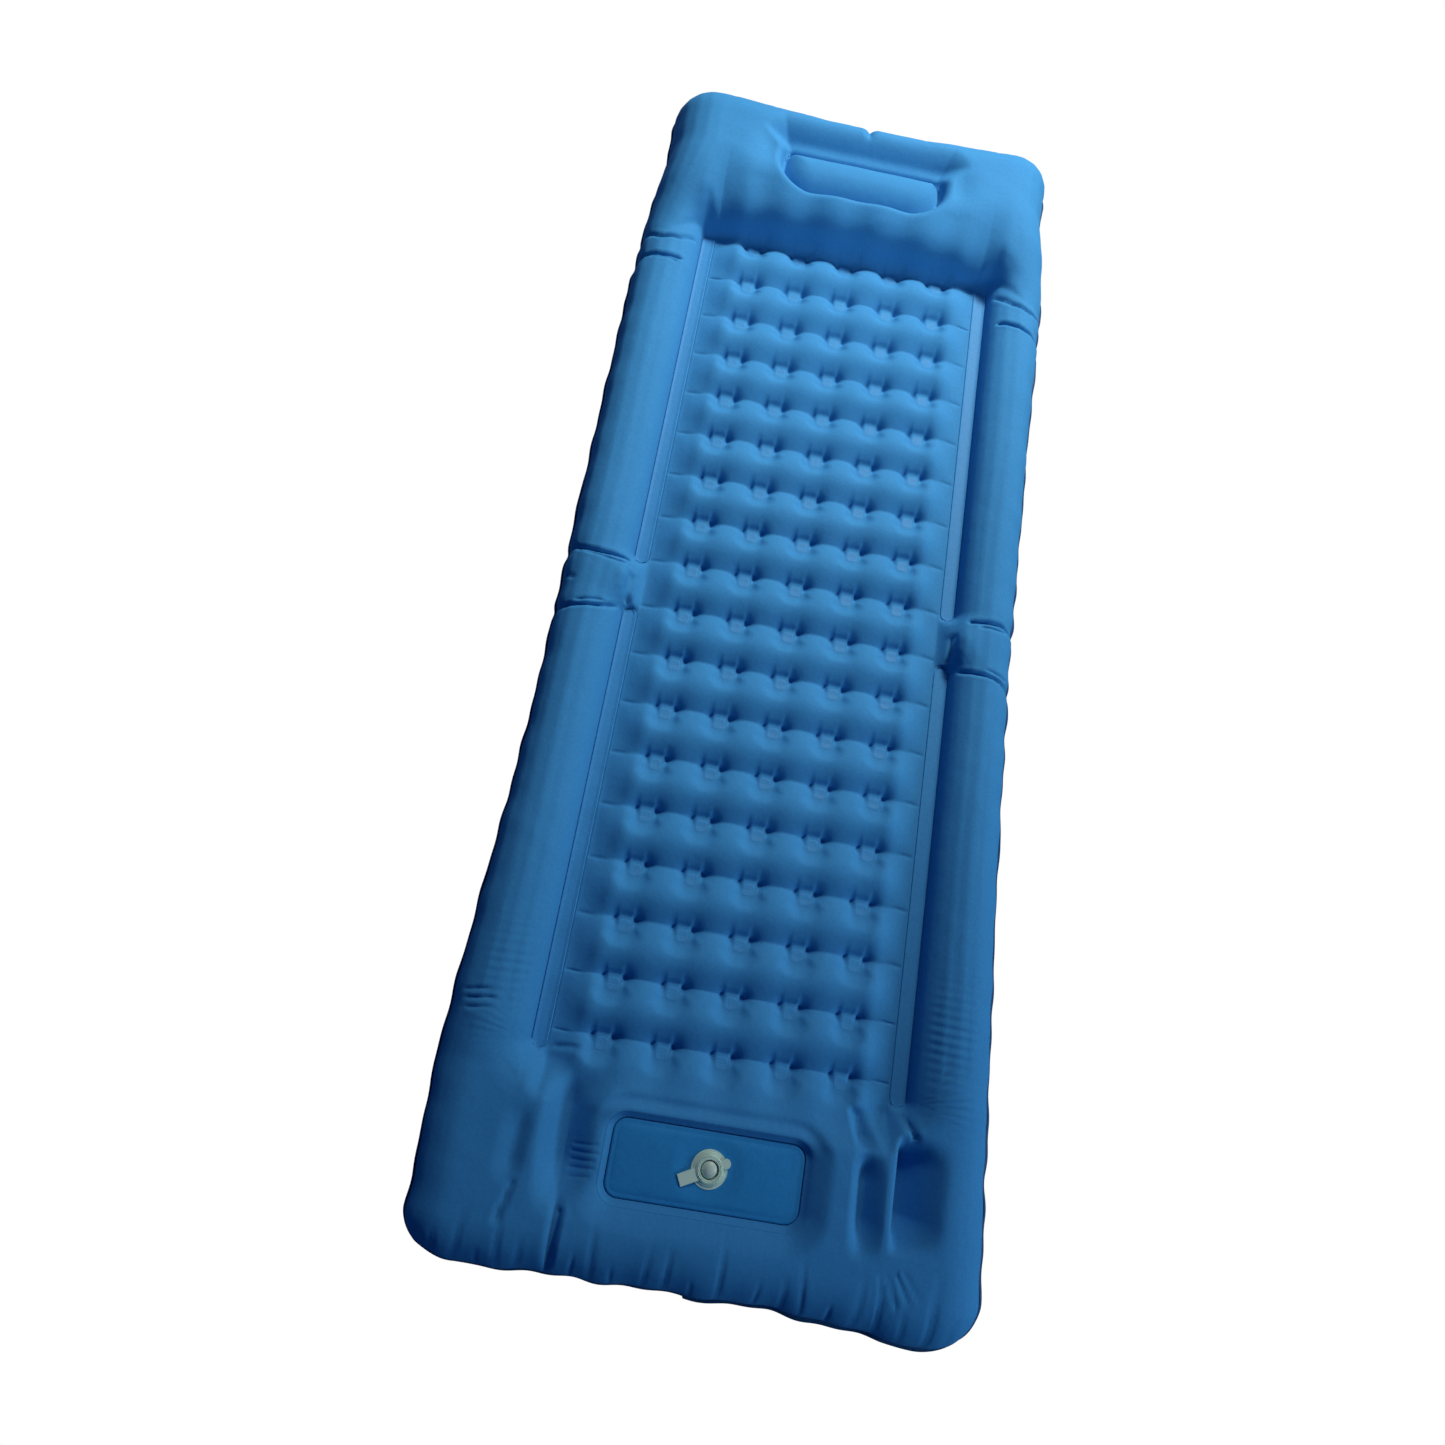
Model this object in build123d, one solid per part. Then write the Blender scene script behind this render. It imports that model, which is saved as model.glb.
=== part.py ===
"""Inflatable camping mattress with a pillow, side rails, a dimpled field and a built-in foot pump.

Row frame: millimetres, +X to the sleeper's left-to-right width, +Y towards the pillow, +Z up.
The origin is the centre of the footprint on the ground.
"""

from build123d import *
import os

# ---------------------------------------------------------------- driving dimensions
PAD_LENGTH = 1900.0
PAD_WIDTH = 700.0         # over the rails at mid length, and at the pillow
FOOT_WIDTH = 738.0        # the foot end spreads wider than the rest
PILLOW_TOP = 150.0
RAIL_TOP = 110.0
FOOT_TOP = 104.0
FIELD_TOP = 92.0          # crest of the cross ridges
FIELD_VALLEY = 76.0       # bottom of the valleys between ridges
SEAM_Z = 55.0             # level where the two sheets are welded together
SEAM_WIDTH = 6.0          # flat welded band outside the air chambers
SEAM_CORNER = 66.0        # plan rounding of the band's four corners
SHEET = 1.5               # modelled thickness of one coated sheet

RAIL_EDGE = 40.0          # rounding of a rail's section
FIELD_EDGE = 30.0         # rounding along the field's long sides
FOOT_ROUNDING = (60.0, 48.0, 48.0)        # upright corners, top edge, bottom edge
PILLOW_ROUNDING = (72.0, 70.0, 54.0)
END_RUN = 19.0            # from the last row of dots to the end chambers
RAIL_RUN = 90.0           # length of each rail's end inside an end chamber
OVERLAP = 8.0             # how far one chamber runs into the next, so that they join

DOT_COLUMNS = 5
DOT_ROWS = 18
DOT_PITCH_X = 80.6
DOT_PITCH_Y = 76.8
DOT_R = 9.0               # flat weld dot at the bottom of each dimple
DIMPLE_R = 24.0           # dimple radius at the field's crest

BAR_X = 242.0             # side weld bars, between rail and field
BAR_WIDTH = 23.0
BAR_OVERRUN = 18.0        # from the last row of dots to the bar's end
BAR_GAP = 38.0            # half of the cross channel at mid length
CHANNEL_HIGH = 50.0
TAPE = 1.0                # thickness of the weld tapes and dot patches
TAPE_GAP = 0.5            # a tape is smaller than its weld by this much all round

LINE_WIDTH = 6.0
FOOT_LINES = [(185.0, (-900.0, -700.0)), (238.0, (-830.0, -735.0))]     # x on each side, span in y
PILLOW_TUBE = (140.0, 738.0, 830.0)       # half width, foot side and head side of the inner tube
PILLOW_TUBE_CORNER = 38.0

PUMP_Y = -780.0
PUMP_SIZE = (250.0, 94.0)
PUMP_CORNER = 18.0
PUMP_TOP = 88.0
PUMP_PLATE = 6.0
PUMP_EDGE = 2.5           # rounding of the panel's top edge
PUMP_GAP = 0.5            # round the panel and the foam
RECESS_MARGIN = 14.0
RECESS_DROP = 2.0         # the recess floor, below the panel's top
LINER_FLOOR = 8.5
FOAM_BORE_R = 19.0

TRANSFER_X = 60.0         # one-way valve from the pump into the pad, on the liner's head side
TRANSFER_Z = 45.0
TRANSFER_R = 8.0
SEAT_R = 14.0
SEAT_THICK = 3.0
SEAT_TAB = (20.0, 12.0)
SEAT_TAB_Y = 16.0
FLAP_R = 11.0
FLAP_THICK = 1.0
FLAP_GAP = 0.1
FLAP_NECK = 9.0
FLAP_AXIS_Y = 13.0        # above the valve's centre
ROLL_R = 1.1              # the flap's rolled edge
ROLL_LENGTH = 14.0
ROLL_LEVEL = 4.3          # off the liner
ROLL_PLAY = 0.05
CHEEK = (4.0, 11.0, 3.0)

VALVE_AT = (4.0, -777.5)
VALVE_TURN = 26.0         # degrees about +Z, from the strap's own -X
STRAP_REACH = 40.0        # valve centre to the strap's fold
STRAP_WIDTH = 15.0
STRAP_THICK = 1.8
FOLD_R = 1.2
WELD_FLANGE_R = 23.5
WELD_FLANGE_THICK = 0.8
BASE_R = 20.7
BASE_THICK = 2.0
COLLAR_R = 16.5
COLLAR_DEPTH = 16.0
BORE_R = 14.0
LEAF_THICK = 1.4          # lower half of a folded strap
CAP_R = 17.8
CAP_RIM = 2.2
CAP_BAND_R = 15.4
CAP_BAND = 3.0
CAP_GAP = 0.1             # between a cap and its base
CAP_SKIRT_R = 13.4
CAP_BORE_R = 11.9
LOBE_AT = 22.4
LOBE_R = 6.0
SPIDER_LOW = 84.0         # the cap's guide for the button's stem
SPIDER_THICK = 1.5
SPIDER_RING_R = 8.5
SPIDER_HUB_R = 3.8
SPIDER_ARM = 2.4
STEM_R = 2.0
STEM_PLAY = 0.05
BUTTON_R = 10.0
BUTTON_LOW = 89.0
BUTTON_SKIRT_TOP = 91.5
BUTTON_RISE = 3.6
BUTTON_BORE_R = 7.5
SPRING_TOP = 92.0
SPRING_R = 4.6
SPRING_WIRE_R = 0.35
SPRING_TURNS = 3.5
SEAL_R = 10.5
CLIP_R = 4.0
CLIP_SLOT = 2.6

DUMP_AT = (1.5 * DOT_PITCH_X, -8.0 * DOT_PITCH_Y)     # drain valve, under the field
DUMP_BOSS_R = 24.0
DUMP_BOSS_HIGH = 25.0
DUMP_HOLE_R = 13.0
DUMP_BORE_R = 10.5
DUMP_R = 20.0
DUMP_FLANGE = 2.0
DUMP_COLLAR = 10.0
DUMP_FOLD = 30.0          # valve centre to the strap's fold
DUMP_STRAP = 12.0
DUMP_CAP_R = 15.0
DUMP_LOBE_R = 5.5
STOPPER_R = 9.8
STOPPER_BORE_R = 7.8
STOPPER_HIGH = 6.0
GROOVE_R = 9.0
GROOVE_SPAN = (3.0, 4.6)
SEAL_WIRE_R = 0.5

# ---------------------------------------------------------------- derived dimensions
HALF_L = PAD_LENGTH / 2 - SEAM_WIDTH
HALF_W = PAD_WIDTH / 2 - SEAM_WIDTH
FOOT_HALF_W = FOOT_WIDTH / 2 - SEAM_WIDTH
RAIL_INNER = BAR_X + BAR_WIDTH / 2
FIELD_HALF_W = BAR_X - BAR_WIDTH / 2
LAST_ROW_Y = DOT_PITCH_Y * (DOT_ROWS - 1) / 2
ZONE_Y = LAST_ROW_Y + END_RUN             # where the field meets the pillow and the foot end
BAR_END = LAST_ROW_Y + BAR_OVERRUN
RAIL_REACH = ZONE_Y + RAIL_RUN
LINER_WALL = PUMP_SIZE[1] / 2 + PUMP_GAP + SHEET      # its outside face, from the pump's centre line
BASE_TOP = PUMP_TOP + BASE_THICK
CAP_LOW = BASE_TOP + CAP_GAP
FOLD_Z = BASE_TOP + 0.7
SPIDER_TOP = SPIDER_LOW + SPIDER_THICK
DUMP_FACE = 2 * SEAM_Z - FIELD_TOP        # underside crest of the field
DUMP_FOLD_Z = DUMP_FACE - DUMP_FLANGE - 0.7
DUMP_CAP_TOP = DUMP_FACE - DUMP_FLANGE - CAP_GAP
TALL = 400.0                              # longer than any cut needs
WIDE = 2 * PAD_LENGTH                     # wider than the whole pad


# ---------------------------------------------------------------- shared shapes
def rounded_plate(size_x, size_y, corner, z_low, z_high):
    """A rounded rectangle about the Z axis, between two heights."""
    return Pos(0, 0, z_low) * extrude(RectangleRounded(size_x, size_y, corner), z_high - z_low)


def disc(radius, z_low, z_high):
    return Pos(0, 0, (z_low + z_high) / 2) * Cylinder(radius, z_high - z_low)


def ring(outer, inner, z_low, z_high):
    return disc(outer, z_low, z_high) - disc(inner, z_low - 1, z_high + 1)


def block(low, high):
    """A box between two opposite corners."""
    middle = [(one + other) / 2 for one, other in zip(low, high)]
    return Pos(*middle) * Box(*[other - one for one, other in zip(low, high)])


def softened(shape, radius, upper=True):
    """The same shape with its top or bottom face's edges rounded."""
    face = shape.faces().sort_by(Axis.Z)[-1 if upper else 0]
    return fillet(face.edges(), radius)


def cushion(half_x, y_span, top, rounding, inset):
    """A block on the ground with rounded upright corners and edges, shrunk by inset on every side."""
    corner, top_edge, low_edge = rounding
    low = (inset - half_x, y_span[0] + inset, inset)
    high = (half_x - inset, y_span[1] - inset, top - inset)
    form = block(low, high)
    form = fillet(form.edges().filter_by(Axis.Z), corner - inset)
    form = softened(form, top_edge - inset)
    return softened(form, low_edge - inset, upper=False)


def dot_places():
    for row in range(DOT_ROWS):
        for column in range(DOT_COLUMNS):
            x = (column - (DOT_COLUMNS - 1) / 2) * DOT_PITCH_X
            y = (row - (DOT_ROWS - 1) / 2) * DOT_PITCH_Y
            yield x, y


def both_sides(shape):
    return [shape, mirror(shape, Plane.YZ)]


# ---------------------------------------------------------------- the two sheets
def rails(inset):
    """Side tubes, rounded in section and straight, wider towards the foot. Both ends lie inside the end chambers."""
    sections = []
    for y, outer in ((-RAIL_REACH, FOOT_HALF_W - 1), (0.0, HALF_W), (RAIL_REACH, HALF_W)):
        section = RectangleRounded(outer - RAIL_INNER - 2 * inset, RAIL_TOP - 2 * inset, RAIL_EDGE - inset)
        middle = Vector((outer + RAIL_INNER) / 2, y, RAIL_TOP / 2)
        sections.append(Plane(middle, x_dir=(1, 0, 0), z_dir=(0, 1, 0)) * section)
    rail = loft(sections, ruled=True)
    return both_sides(rail)


def ridge_profile(inset):
    """Side view of the dimpled field: one arc per ridge on top, mirrored below the seam."""
    crest = FIELD_TOP - SEAM_Z - inset
    valley = FIELD_VALLEY - SEAM_Z - inset
    end = ZONE_Y + OVERLAP - inset
    first = -LAST_ROW_Y
    lines = []
    for side in (1, -1):
        lines.append(Line((-end, side * valley), (first, side * valley)))
        for row in range(DOT_ROWS - 1):
            start = first + row * DOT_PITCH_Y
            middle = start + DOT_PITCH_Y / 2
            lines.append(
                ThreePointArc((start, side * valley), (middle, side * crest), (start + DOT_PITCH_Y, side * valley))
            )
        lines.append(Line((-first, side * valley), (end, side * valley)))
    lines.append(Line((-end, valley), (-end, -valley)))
    lines.append(Line((end, valley), (end, -valley)))
    return make_face(lines)


def field(inset):
    """The ridges, rounded off along both long sides."""
    half = FIELD_HALF_W - inset
    ridges = extrude(Plane.YZ * ridge_profile(inset), half, both=True)
    height = 2 * (FIELD_TOP - SEAM_Z - inset)
    envelope = RectangleRounded(2 * half, height, FIELD_EDGE - inset)
    envelope = extrude(Plane.XZ * envelope, WIDE, both=True)
    return Pos(0, 0, SEAM_Z) * (ridges & envelope)


def dimples(inset):
    """Tapered pits from both faces down to the weld dots. The air side is cut right through."""
    floor = SHEET if inset == 0 else 0.0
    depth = FIELD_TOP - SEAM_Z - floor
    pit = Pos(0, 0, SEAM_Z + floor + depth / 2) * Cone(DOT_R + inset, DIMPLE_R + inset, depth)
    pits = [pit, mirror(pit, Plane.XY.offset(SEAM_Z))]
    return [Pos(x, y, 0) * one for x, y in dot_places() for one in pits]


def web():
    """The two welded sheets at the seam, over the whole pad."""
    return block((-WIDE, -WIDE, SEAM_Z - SHEET), (WIDE, WIDE, SEAM_Z + SHEET))


def weld_slot(outline, inset):
    """A slot from both faces down to the weld, drawn in plan. The air side is cut right through."""
    slot = Pos(0, 0, -TALL / 2) * extrude(outline, TALL)
    return slot - web() if inset == 0 else slot


def foot_grooves(inset):
    grooves = []
    width = LINE_WIDTH + 2 * inset
    for x, (low, high) in FOOT_LINES:
        outline = RectangleRounded(width, high - low + 2 * inset, width / 2 - 0.01)
        grooves += both_sides(weld_slot(Pos(x, (low + high) / 2) * outline, inset))
    return grooves


def pillow_line(width):
    """Plan of the weld round the pillow's inner tube."""
    half, low, high = PILLOW_TUBE
    outline = Pos(0, (low + high) / 2) * RectangleRounded(2 * half, high - low, PILLOW_TUBE_CORNER)
    return offset(outline, width / 2) - offset(outline, -width / 2)


def cross_channels(inset):
    """Passages from the field to the rails, through the gap between the weld bars."""
    half = BAR_WIDTH / 2 + OVERLAP
    high = CHANNEL_HIGH / 2 - inset
    low_corner = (BAR_X - half, inset - BAR_GAP, SEAM_Z - high)
    high_corner = (BAR_X + half, BAR_GAP - inset, SEAM_Z + high)
    return both_sides(block(low_corner, high_corner))


def bar_webs():
    """The welded sheets that join each rail to the field."""
    half = BAR_WIDTH / 2 + 1
    low_corner = (BAR_X - half, -ZONE_Y, SEAM_Z - SHEET)
    high_corner = (BAR_X + half, ZONE_Y, SEAM_Z + SHEET)
    return both_sides(block(low_corner, high_corner))


def pump_recess(inset):
    grown = RECESS_MARGIN + inset
    low = PUMP_TOP - RECESS_DROP - inset
    recess = rounded_plate(PUMP_SIZE[0] + 2 * grown, PUMP_SIZE[1] + 2 * grown, PUMP_CORNER + grown, low, TALL)
    return Pos(0, PUMP_Y, 0) * recess


def body(inset):
    """The whole inflated form. inset 0 is the outside; inset SHEET is the air inside."""
    form = field(inset)
    form += rails(inset)
    form += cushion(FOOT_HALF_W, (-HALF_L, -ZONE_Y), FOOT_TOP, FOOT_ROUNDING, inset)
    form += cushion(HALF_W, (ZONE_Y, HALF_L), PILLOW_TOP, PILLOW_ROUNDING, inset)
    form += cross_channels(inset)
    form += Pos(*DUMP_AT, 0) * disc(DUMP_BOSS_R - inset, DUMP_FACE + inset, DUMP_FACE + DUMP_BOSS_HIGH)
    if inset == 0:
        form += bar_webs()
    form -= pump_recess(inset)
    form -= dimples(inset)
    form -= foot_grooves(inset)
    form -= weld_slot(pillow_line(LINE_WIDTH + 2 * inset), inset)
    return form


FORM = body(0.0)


def sheets():
    skin = FORM - body(SHEET)
    above = block((-WIDE, -WIDE, SEAM_Z), (WIDE, WIDE, TALL))
    below = block((-WIDE, -WIDE, -TALL), (WIDE, WIDE, SEAM_Z))
    well = rounded_plate(
        PUMP_SIZE[0] + 2 * PUMP_GAP, PUMP_SIZE[1] + 2 * PUMP_GAP, PUMP_CORNER + PUMP_GAP, SEAM_Z, TALL
    )
    top = (skin & above) - Pos(0, PUMP_Y, 0) * well
    bottom = (skin & below) - Pos(*DUMP_AT, 0) * disc(DUMP_HOLE_R, 0, SEAM_Z - 2 * OVERLAP)
    return top, bottom


def perimeter_seam():
    """Flat welded band all round: the outline less the inflated form."""
    corners = [(PAD_WIDTH / 2, PAD_LENGTH / 2), (PAD_WIDTH / 2, 0)]
    corners += [(FOOT_WIDTH / 2, -RAIL_REACH), (FOOT_WIDTH / 2, -PAD_LENGTH / 2)]
    corners += [(-x, y) for x, y in reversed(corners)]
    outline = Polygon(*corners, align=None)
    ends = outline.vertices().filter_by(lambda corner: abs(corner.Y) > PAD_LENGTH / 2 - 1)
    band = Pos(0, 0, SEAM_Z) * extrude(fillet(ends, SEAM_CORNER), SHEET, both=True)
    return (band - FORM).solids().sort_by(SortBy.VOLUME)[-1]


def side_weld_bars():
    """Flat tapes over the weld between rail and field, above and below, in two lengths a side."""
    length = BAR_END - BAR_GAP
    width = BAR_WIDTH - 2 * TAPE_GAP
    tape = extrude(RectangleRounded(width, length, width / 2 - 0.1), TAPE)
    tapes = []
    for x in (-BAR_X, BAR_X):
        for y in (-(BAR_GAP + length / 2), BAR_GAP + length / 2):
            for z in (SEAM_Z + SHEET, SEAM_Z - SHEET - TAPE):
                tapes.append(Pos(x, y, z) * tape)
    return Compound(tapes)


def weld_dots():
    patch = disc(DOT_R - TAPE_GAP, SEAM_Z + SHEET, SEAM_Z + SHEET + TAPE)
    return Compound([Pos(x, y, 0) * patch for x, y in dot_places()])


def foot_weld_lines():
    tapes = []
    width = LINE_WIDTH - 2 * TAPE_GAP
    for x, (low, high) in FOOT_LINES:
        outline = RectangleRounded(width, high - low - 2 * TAPE_GAP, width / 2 - 0.1)
        tapes += both_sides(Pos(x, (low + high) / 2, SEAM_Z + SHEET) * extrude(outline, TAPE))
    return Compound(tapes)


def pillow_weld_line():
    return Pos(0, 0, SEAM_Z + SHEET) * extrude(pillow_line(LINE_WIDTH - 2 * TAPE_GAP), TAPE)


# ---------------------------------------------------------------- foot pump
def pump_plate(grown, z_low, z_high):
    """The pump's rounded outline, wider by grown on every side."""
    return rounded_plate(PUMP_SIZE[0] + 2 * grown, PUMP_SIZE[1] + 2 * grown, PUMP_CORNER + grown, z_low, z_high)


def pump_liner():
    """Open-topped chamber that holds the foam, welded under the top sheet's recess."""
    outer = pump_plate(PUMP_GAP + SHEET, LINER_FLOOR, PUMP_TOP - RECESS_DROP - SHEET)
    inner = pump_plate(PUMP_GAP, LINER_FLOOR + SHEET, PUMP_TOP)
    hole = Pos(TRANSFER_X, LINER_WALL, TRANSFER_Z) * Rot(90, 0, 0) * Cylinder(TRANSFER_R, 10 * SHEET)
    return Pos(0, PUMP_Y, 0) * (outer - inner - hole)


def pump_foam():
    foam = pump_plate(-PUMP_GAP, LINER_FLOOR + SHEET, PUMP_TOP - PUMP_PLATE)
    return Pos(0, PUMP_Y, 0) * foam - Pos(*VALVE_AT, 0) * disc(FOAM_BORE_R, 0, PUMP_TOP)


def pump_panel():
    plate = softened(pump_plate(0, PUMP_TOP - PUMP_PLATE, PUMP_TOP), PUMP_EDGE)
    return Pos(0, PUMP_Y, 0) * plate - Pos(*VALVE_AT, 0) * disc(COLLAR_R + 0.3, 0, PUMP_TOP + 1)


def at_transfer(shape):
    """Stands a part drawn flat about +Z on the liner's head side, facing +Y."""
    place = Plane(origin=(TRANSFER_X, PUMP_Y + LINER_WALL, TRANSFER_Z), x_dir=(-1, 0, 0), z_dir=(0, 1, 0))
    return place * shape


def transfer_seat():
    seat = disc(SEAT_R, 0, SEAT_THICK) + Pos(0, SEAT_TAB_Y, SEAT_THICK / 2) * Box(*SEAT_TAB, SEAT_THICK)
    return at_transfer(seat - disc(TRANSFER_R, -1, SEAT_THICK + 1))


def flap_roll(radius, length):
    return Pos(0, FLAP_AXIS_Y, ROLL_LEVEL) * Rot(0, 90, 0) * Cylinder(radius, length)


def transfer_flap():
    """Soft one-way flap on a rolled edge."""
    low = SEAT_THICK + FLAP_GAP
    neck = block((-FLAP_NECK / 2, 0, low), (FLAP_NECK / 2, FLAP_AXIS_Y, low + FLAP_THICK))
    return at_transfer(disc(FLAP_R, low, low + FLAP_THICK) + neck + flap_roll(ROLL_R, ROLL_LENGTH))


def flap_retainer():
    """Bar with two end cheeks that holds the flap's rolled edge on the seat."""
    wide, deep, thick = CHEEK
    level = SEAT_THICK + thick / 2
    bar = Pos(0, SEAT_TAB_Y + thick, level) * Box(ROLL_LENGTH + wide, deep - SEAT_TAB[1] / 2, thick)
    cheeks = [Pos(side * ROLL_LENGTH / 2, SEAT_TAB_Y, level) * Box(*CHEEK) for side in (-1, 1)]
    return at_transfer(bar + cheeks - flap_roll(ROLL_R + ROLL_PLAY, ROLL_LENGTH + 1))


# ---------------------------------------------------------------- intake valve, on the pump panel
def at_valve(shape):
    return Pos(*VALVE_AT, 0) * Rot(0, 0, VALVE_TURN) * shape


def strap(reach, start, width, z_low, thick):
    """A flat strip along -X, from a valve's flange out to its fold."""
    return block((-reach, -width / 2, z_low), (-start, width / 2, z_low + thick))


def fold(reach, width, level):
    return Pos(-reach, 0, level) * Rot(90, 0, 0) * Cylinder(FOLD_R, width)


def intake_base():
    """Weld flange with its collar and the lower half of the folded strap."""
    flange = softened(disc(BASE_R, PUMP_TOP, BASE_TOP), WELD_FLANGE_THICK)
    weld = disc(WELD_FLANGE_R, PUMP_TOP, PUMP_TOP + WELD_FLANGE_THICK)
    collar = disc(COLLAR_R, PUMP_TOP - COLLAR_DEPTH, PUMP_TOP)
    leaf = strap(STRAP_REACH + 1.8, COLLAR_R, STRAP_WIDTH, PUMP_TOP, LEAF_THICK)
    return at_valve(flange + weld + collar + leaf - disc(BORE_R, 0, TALL))


def cap_spider():
    """Ring, hub and four arms across the cap's bore. The button's stem slides in the hub."""
    spider = ring(CAP_BORE_R + 0.5, SPIDER_RING_R, SPIDER_LOW, SPIDER_TOP)
    spider += disc(SPIDER_HUB_R, SPIDER_LOW, SPIDER_TOP)
    for arm in (Box(2 * SPIDER_RING_R + 1, SPIDER_ARM, SPIDER_THICK), Box(SPIDER_ARM, 2 * SPIDER_RING_R + 1, SPIDER_THICK)):
        spider += Pos(0, 0, SPIDER_LOW + SPIDER_THICK / 2) * arm
    return spider - disc(STEM_R + STEM_PLAY, SPIDER_LOW - 1, SPIDER_TOP + 1)


def intake_cap():
    """Ring cap with its sealing skirt, guide spider, strap and pull lobe."""
    cap = softened(disc(CAP_R, CAP_LOW, CAP_LOW + CAP_RIM), 0.9)
    cap += softened(disc(CAP_BAND_R, CAP_LOW, CAP_LOW + CAP_BAND), 0.6)
    cap += Pos(LOBE_AT, 0, 0) * disc(LOBE_R, CAP_LOW, CAP_LOW + CAP_RIM)
    cap += block((CAP_R - 3, -LOBE_R * 0.75, CAP_LOW), (LOBE_AT, LOBE_R * 0.75, CAP_LOW + CAP_RIM))
    cap += strap(STRAP_REACH, CAP_BAND_R, STRAP_WIDTH, CAP_LOW, STRAP_THICK)
    cap += fold(STRAP_REACH, STRAP_WIDTH, FOLD_Z)
    cap += disc(CAP_SKIRT_R, SPIDER_LOW, CAP_LOW)
    cap -= disc(CAP_BORE_R, SPIDER_LOW - 1, TALL)
    return at_valve(cap + cap_spider())


def intake_button():
    """Domed poppet head on its stem. Pushed down, it opens the seal under the spider."""
    ball_r = (BUTTON_R**2 + BUTTON_RISE**2) / (2 * BUTTON_RISE)
    ball = Pos(0, 0, BUTTON_SKIRT_TOP + BUTTON_RISE - ball_r) * Sphere(ball_r)
    dome = ball & disc(BUTTON_R, BUTTON_SKIRT_TOP, TALL)
    head = disc(BUTTON_R, BUTTON_LOW, BUTTON_SKIRT_TOP) + dome
    head -= disc(BUTTON_BORE_R, BUTTON_LOW - 1, SPRING_TOP)
    return at_valve(head + disc(STEM_R, SPIDER_LOW - CLIP_R, SPRING_TOP + 0.5))


def button_spring():
    """Small compression spring between the spider and the button."""
    seat = SPRING_WIRE_R + 0.05
    height = SPRING_TOP - SPIDER_TOP - 2 * seat
    path = Helix(pitch=height / SPRING_TURNS, height=height, radius=SPRING_R)
    profile = Plane(origin=path @ 0, z_dir=path % 0) * Circle(SPRING_WIRE_R)
    coil = sweep(profile, path=path, is_frenet=True)
    return at_valve(Pos(0, 0, SPIDER_TOP + seat) * coil)


def seal_disc():
    return at_valve(ring(SEAL_R, STEM_R + 0.02, SPIDER_LOW - 1.2, SPIDER_LOW - 0.1))


def stem_clip():
    """Split washer under the seal, on the stem."""
    low, high = SPIDER_LOW - 2.2, SPIDER_LOW - 1.3
    slot = block((1, -CLIP_SLOT / 2, low - 1), (CLIP_R + 1, CLIP_SLOT / 2, high + 1))
    return at_valve(ring(CLIP_R, STEM_R + 0.02, low, high) - slot)


# ---------------------------------------------------------------- drain valve, under the field
def at_dump(shape):
    return Pos(*DUMP_AT, 0) * shape


def dump_base():
    flange = ring(DUMP_R, DUMP_BORE_R, DUMP_FACE - DUMP_FLANGE, DUMP_FACE)
    collar = ring(DUMP_HOLE_R - 0.2, DUMP_BORE_R, DUMP_FACE - 1, DUMP_FACE + DUMP_COLLAR)
    leaf = strap(DUMP_FOLD + 1.8, DUMP_R - 4.2, DUMP_STRAP, DUMP_FACE - LEAF_THICK, LEAF_THICK)
    return at_dump(flange + collar + leaf)


def dump_plug():
    """Plain stopper on a folded strap, with a pull lobe."""
    low = DUMP_CAP_TOP - CAP_RIM
    plug = softened(disc(DUMP_CAP_R, low, DUMP_CAP_TOP), 0.8, upper=False)
    plug += Pos(DUMP_CAP_R + 1, 0, 0) * disc(DUMP_LOBE_R, low, DUMP_CAP_TOP)
    plug += strap(DUMP_FOLD, DUMP_CAP_R - 3, DUMP_STRAP, DUMP_CAP_TOP - STRAP_THICK, STRAP_THICK)
    plug += fold(DUMP_FOLD, DUMP_STRAP, DUMP_FOLD_Z)
    stopper = ring(STOPPER_R, STOPPER_BORE_R, DUMP_CAP_TOP - 0.5, DUMP_CAP_TOP + STOPPER_HIGH)
    stopper -= ring(STOPPER_R + 1, GROOVE_R, DUMP_CAP_TOP + GROOVE_SPAN[0], DUMP_CAP_TOP + GROOVE_SPAN[1])
    return at_dump(plug + stopper)


def dump_seal():
    """Soft ring in the stopper's groove."""
    middle = DUMP_CAP_TOP + sum(GROOVE_SPAN) / 2
    return at_dump(Pos(0, 0, middle) * Torus(STOPPER_R - 0.2, SEAL_WIRE_R))


TOP_SHEET, BOTTOM_SHEET = sheets()

PARTS = {
    "top_sheet": TOP_SHEET,
    "bottom_sheet": BOTTOM_SHEET,
    "perimeter_seam": perimeter_seam(),
    "side_weld_bars": side_weld_bars(),
    "weld_dots": weld_dots(),
    "foot_weld_lines": foot_weld_lines(),
    "pillow_weld_line": pillow_weld_line(),
    "pump_liner": pump_liner(),
    "pump_foam": pump_foam(),
    "pump_panel": pump_panel(),
    "transfer_seat": transfer_seat(),
    "transfer_flap": transfer_flap(),
    "flap_retainer": flap_retainer(),
    "intake_base": intake_base(),
    "intake_cap": intake_cap(),
    "intake_button": intake_button(),
    "button_spring": button_spring(),
    "seal_disc": seal_disc(),
    "stem_clip": stem_clip(),
    "dump_base": dump_base(),
    "dump_plug": dump_plug(),
    "dump_seal": dump_seal(),
}

os.makedirs("parts", exist_ok=True)
for name, shape in PARTS.items():
    export_step(shape, f"parts/{name}.step")
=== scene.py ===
"""Looks of the inflatable camping mattress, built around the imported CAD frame.

Everything is in metres in the row frame: +X across, +Y towards the pillow, +Z up, ground at z = 0.
The soft sheets are height fields over the welded outline. Each weld, fold and crease is a shape in plan.
"""

import math

import bpy
import numpy as np
from mathutils import Matrix, Vector

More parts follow.
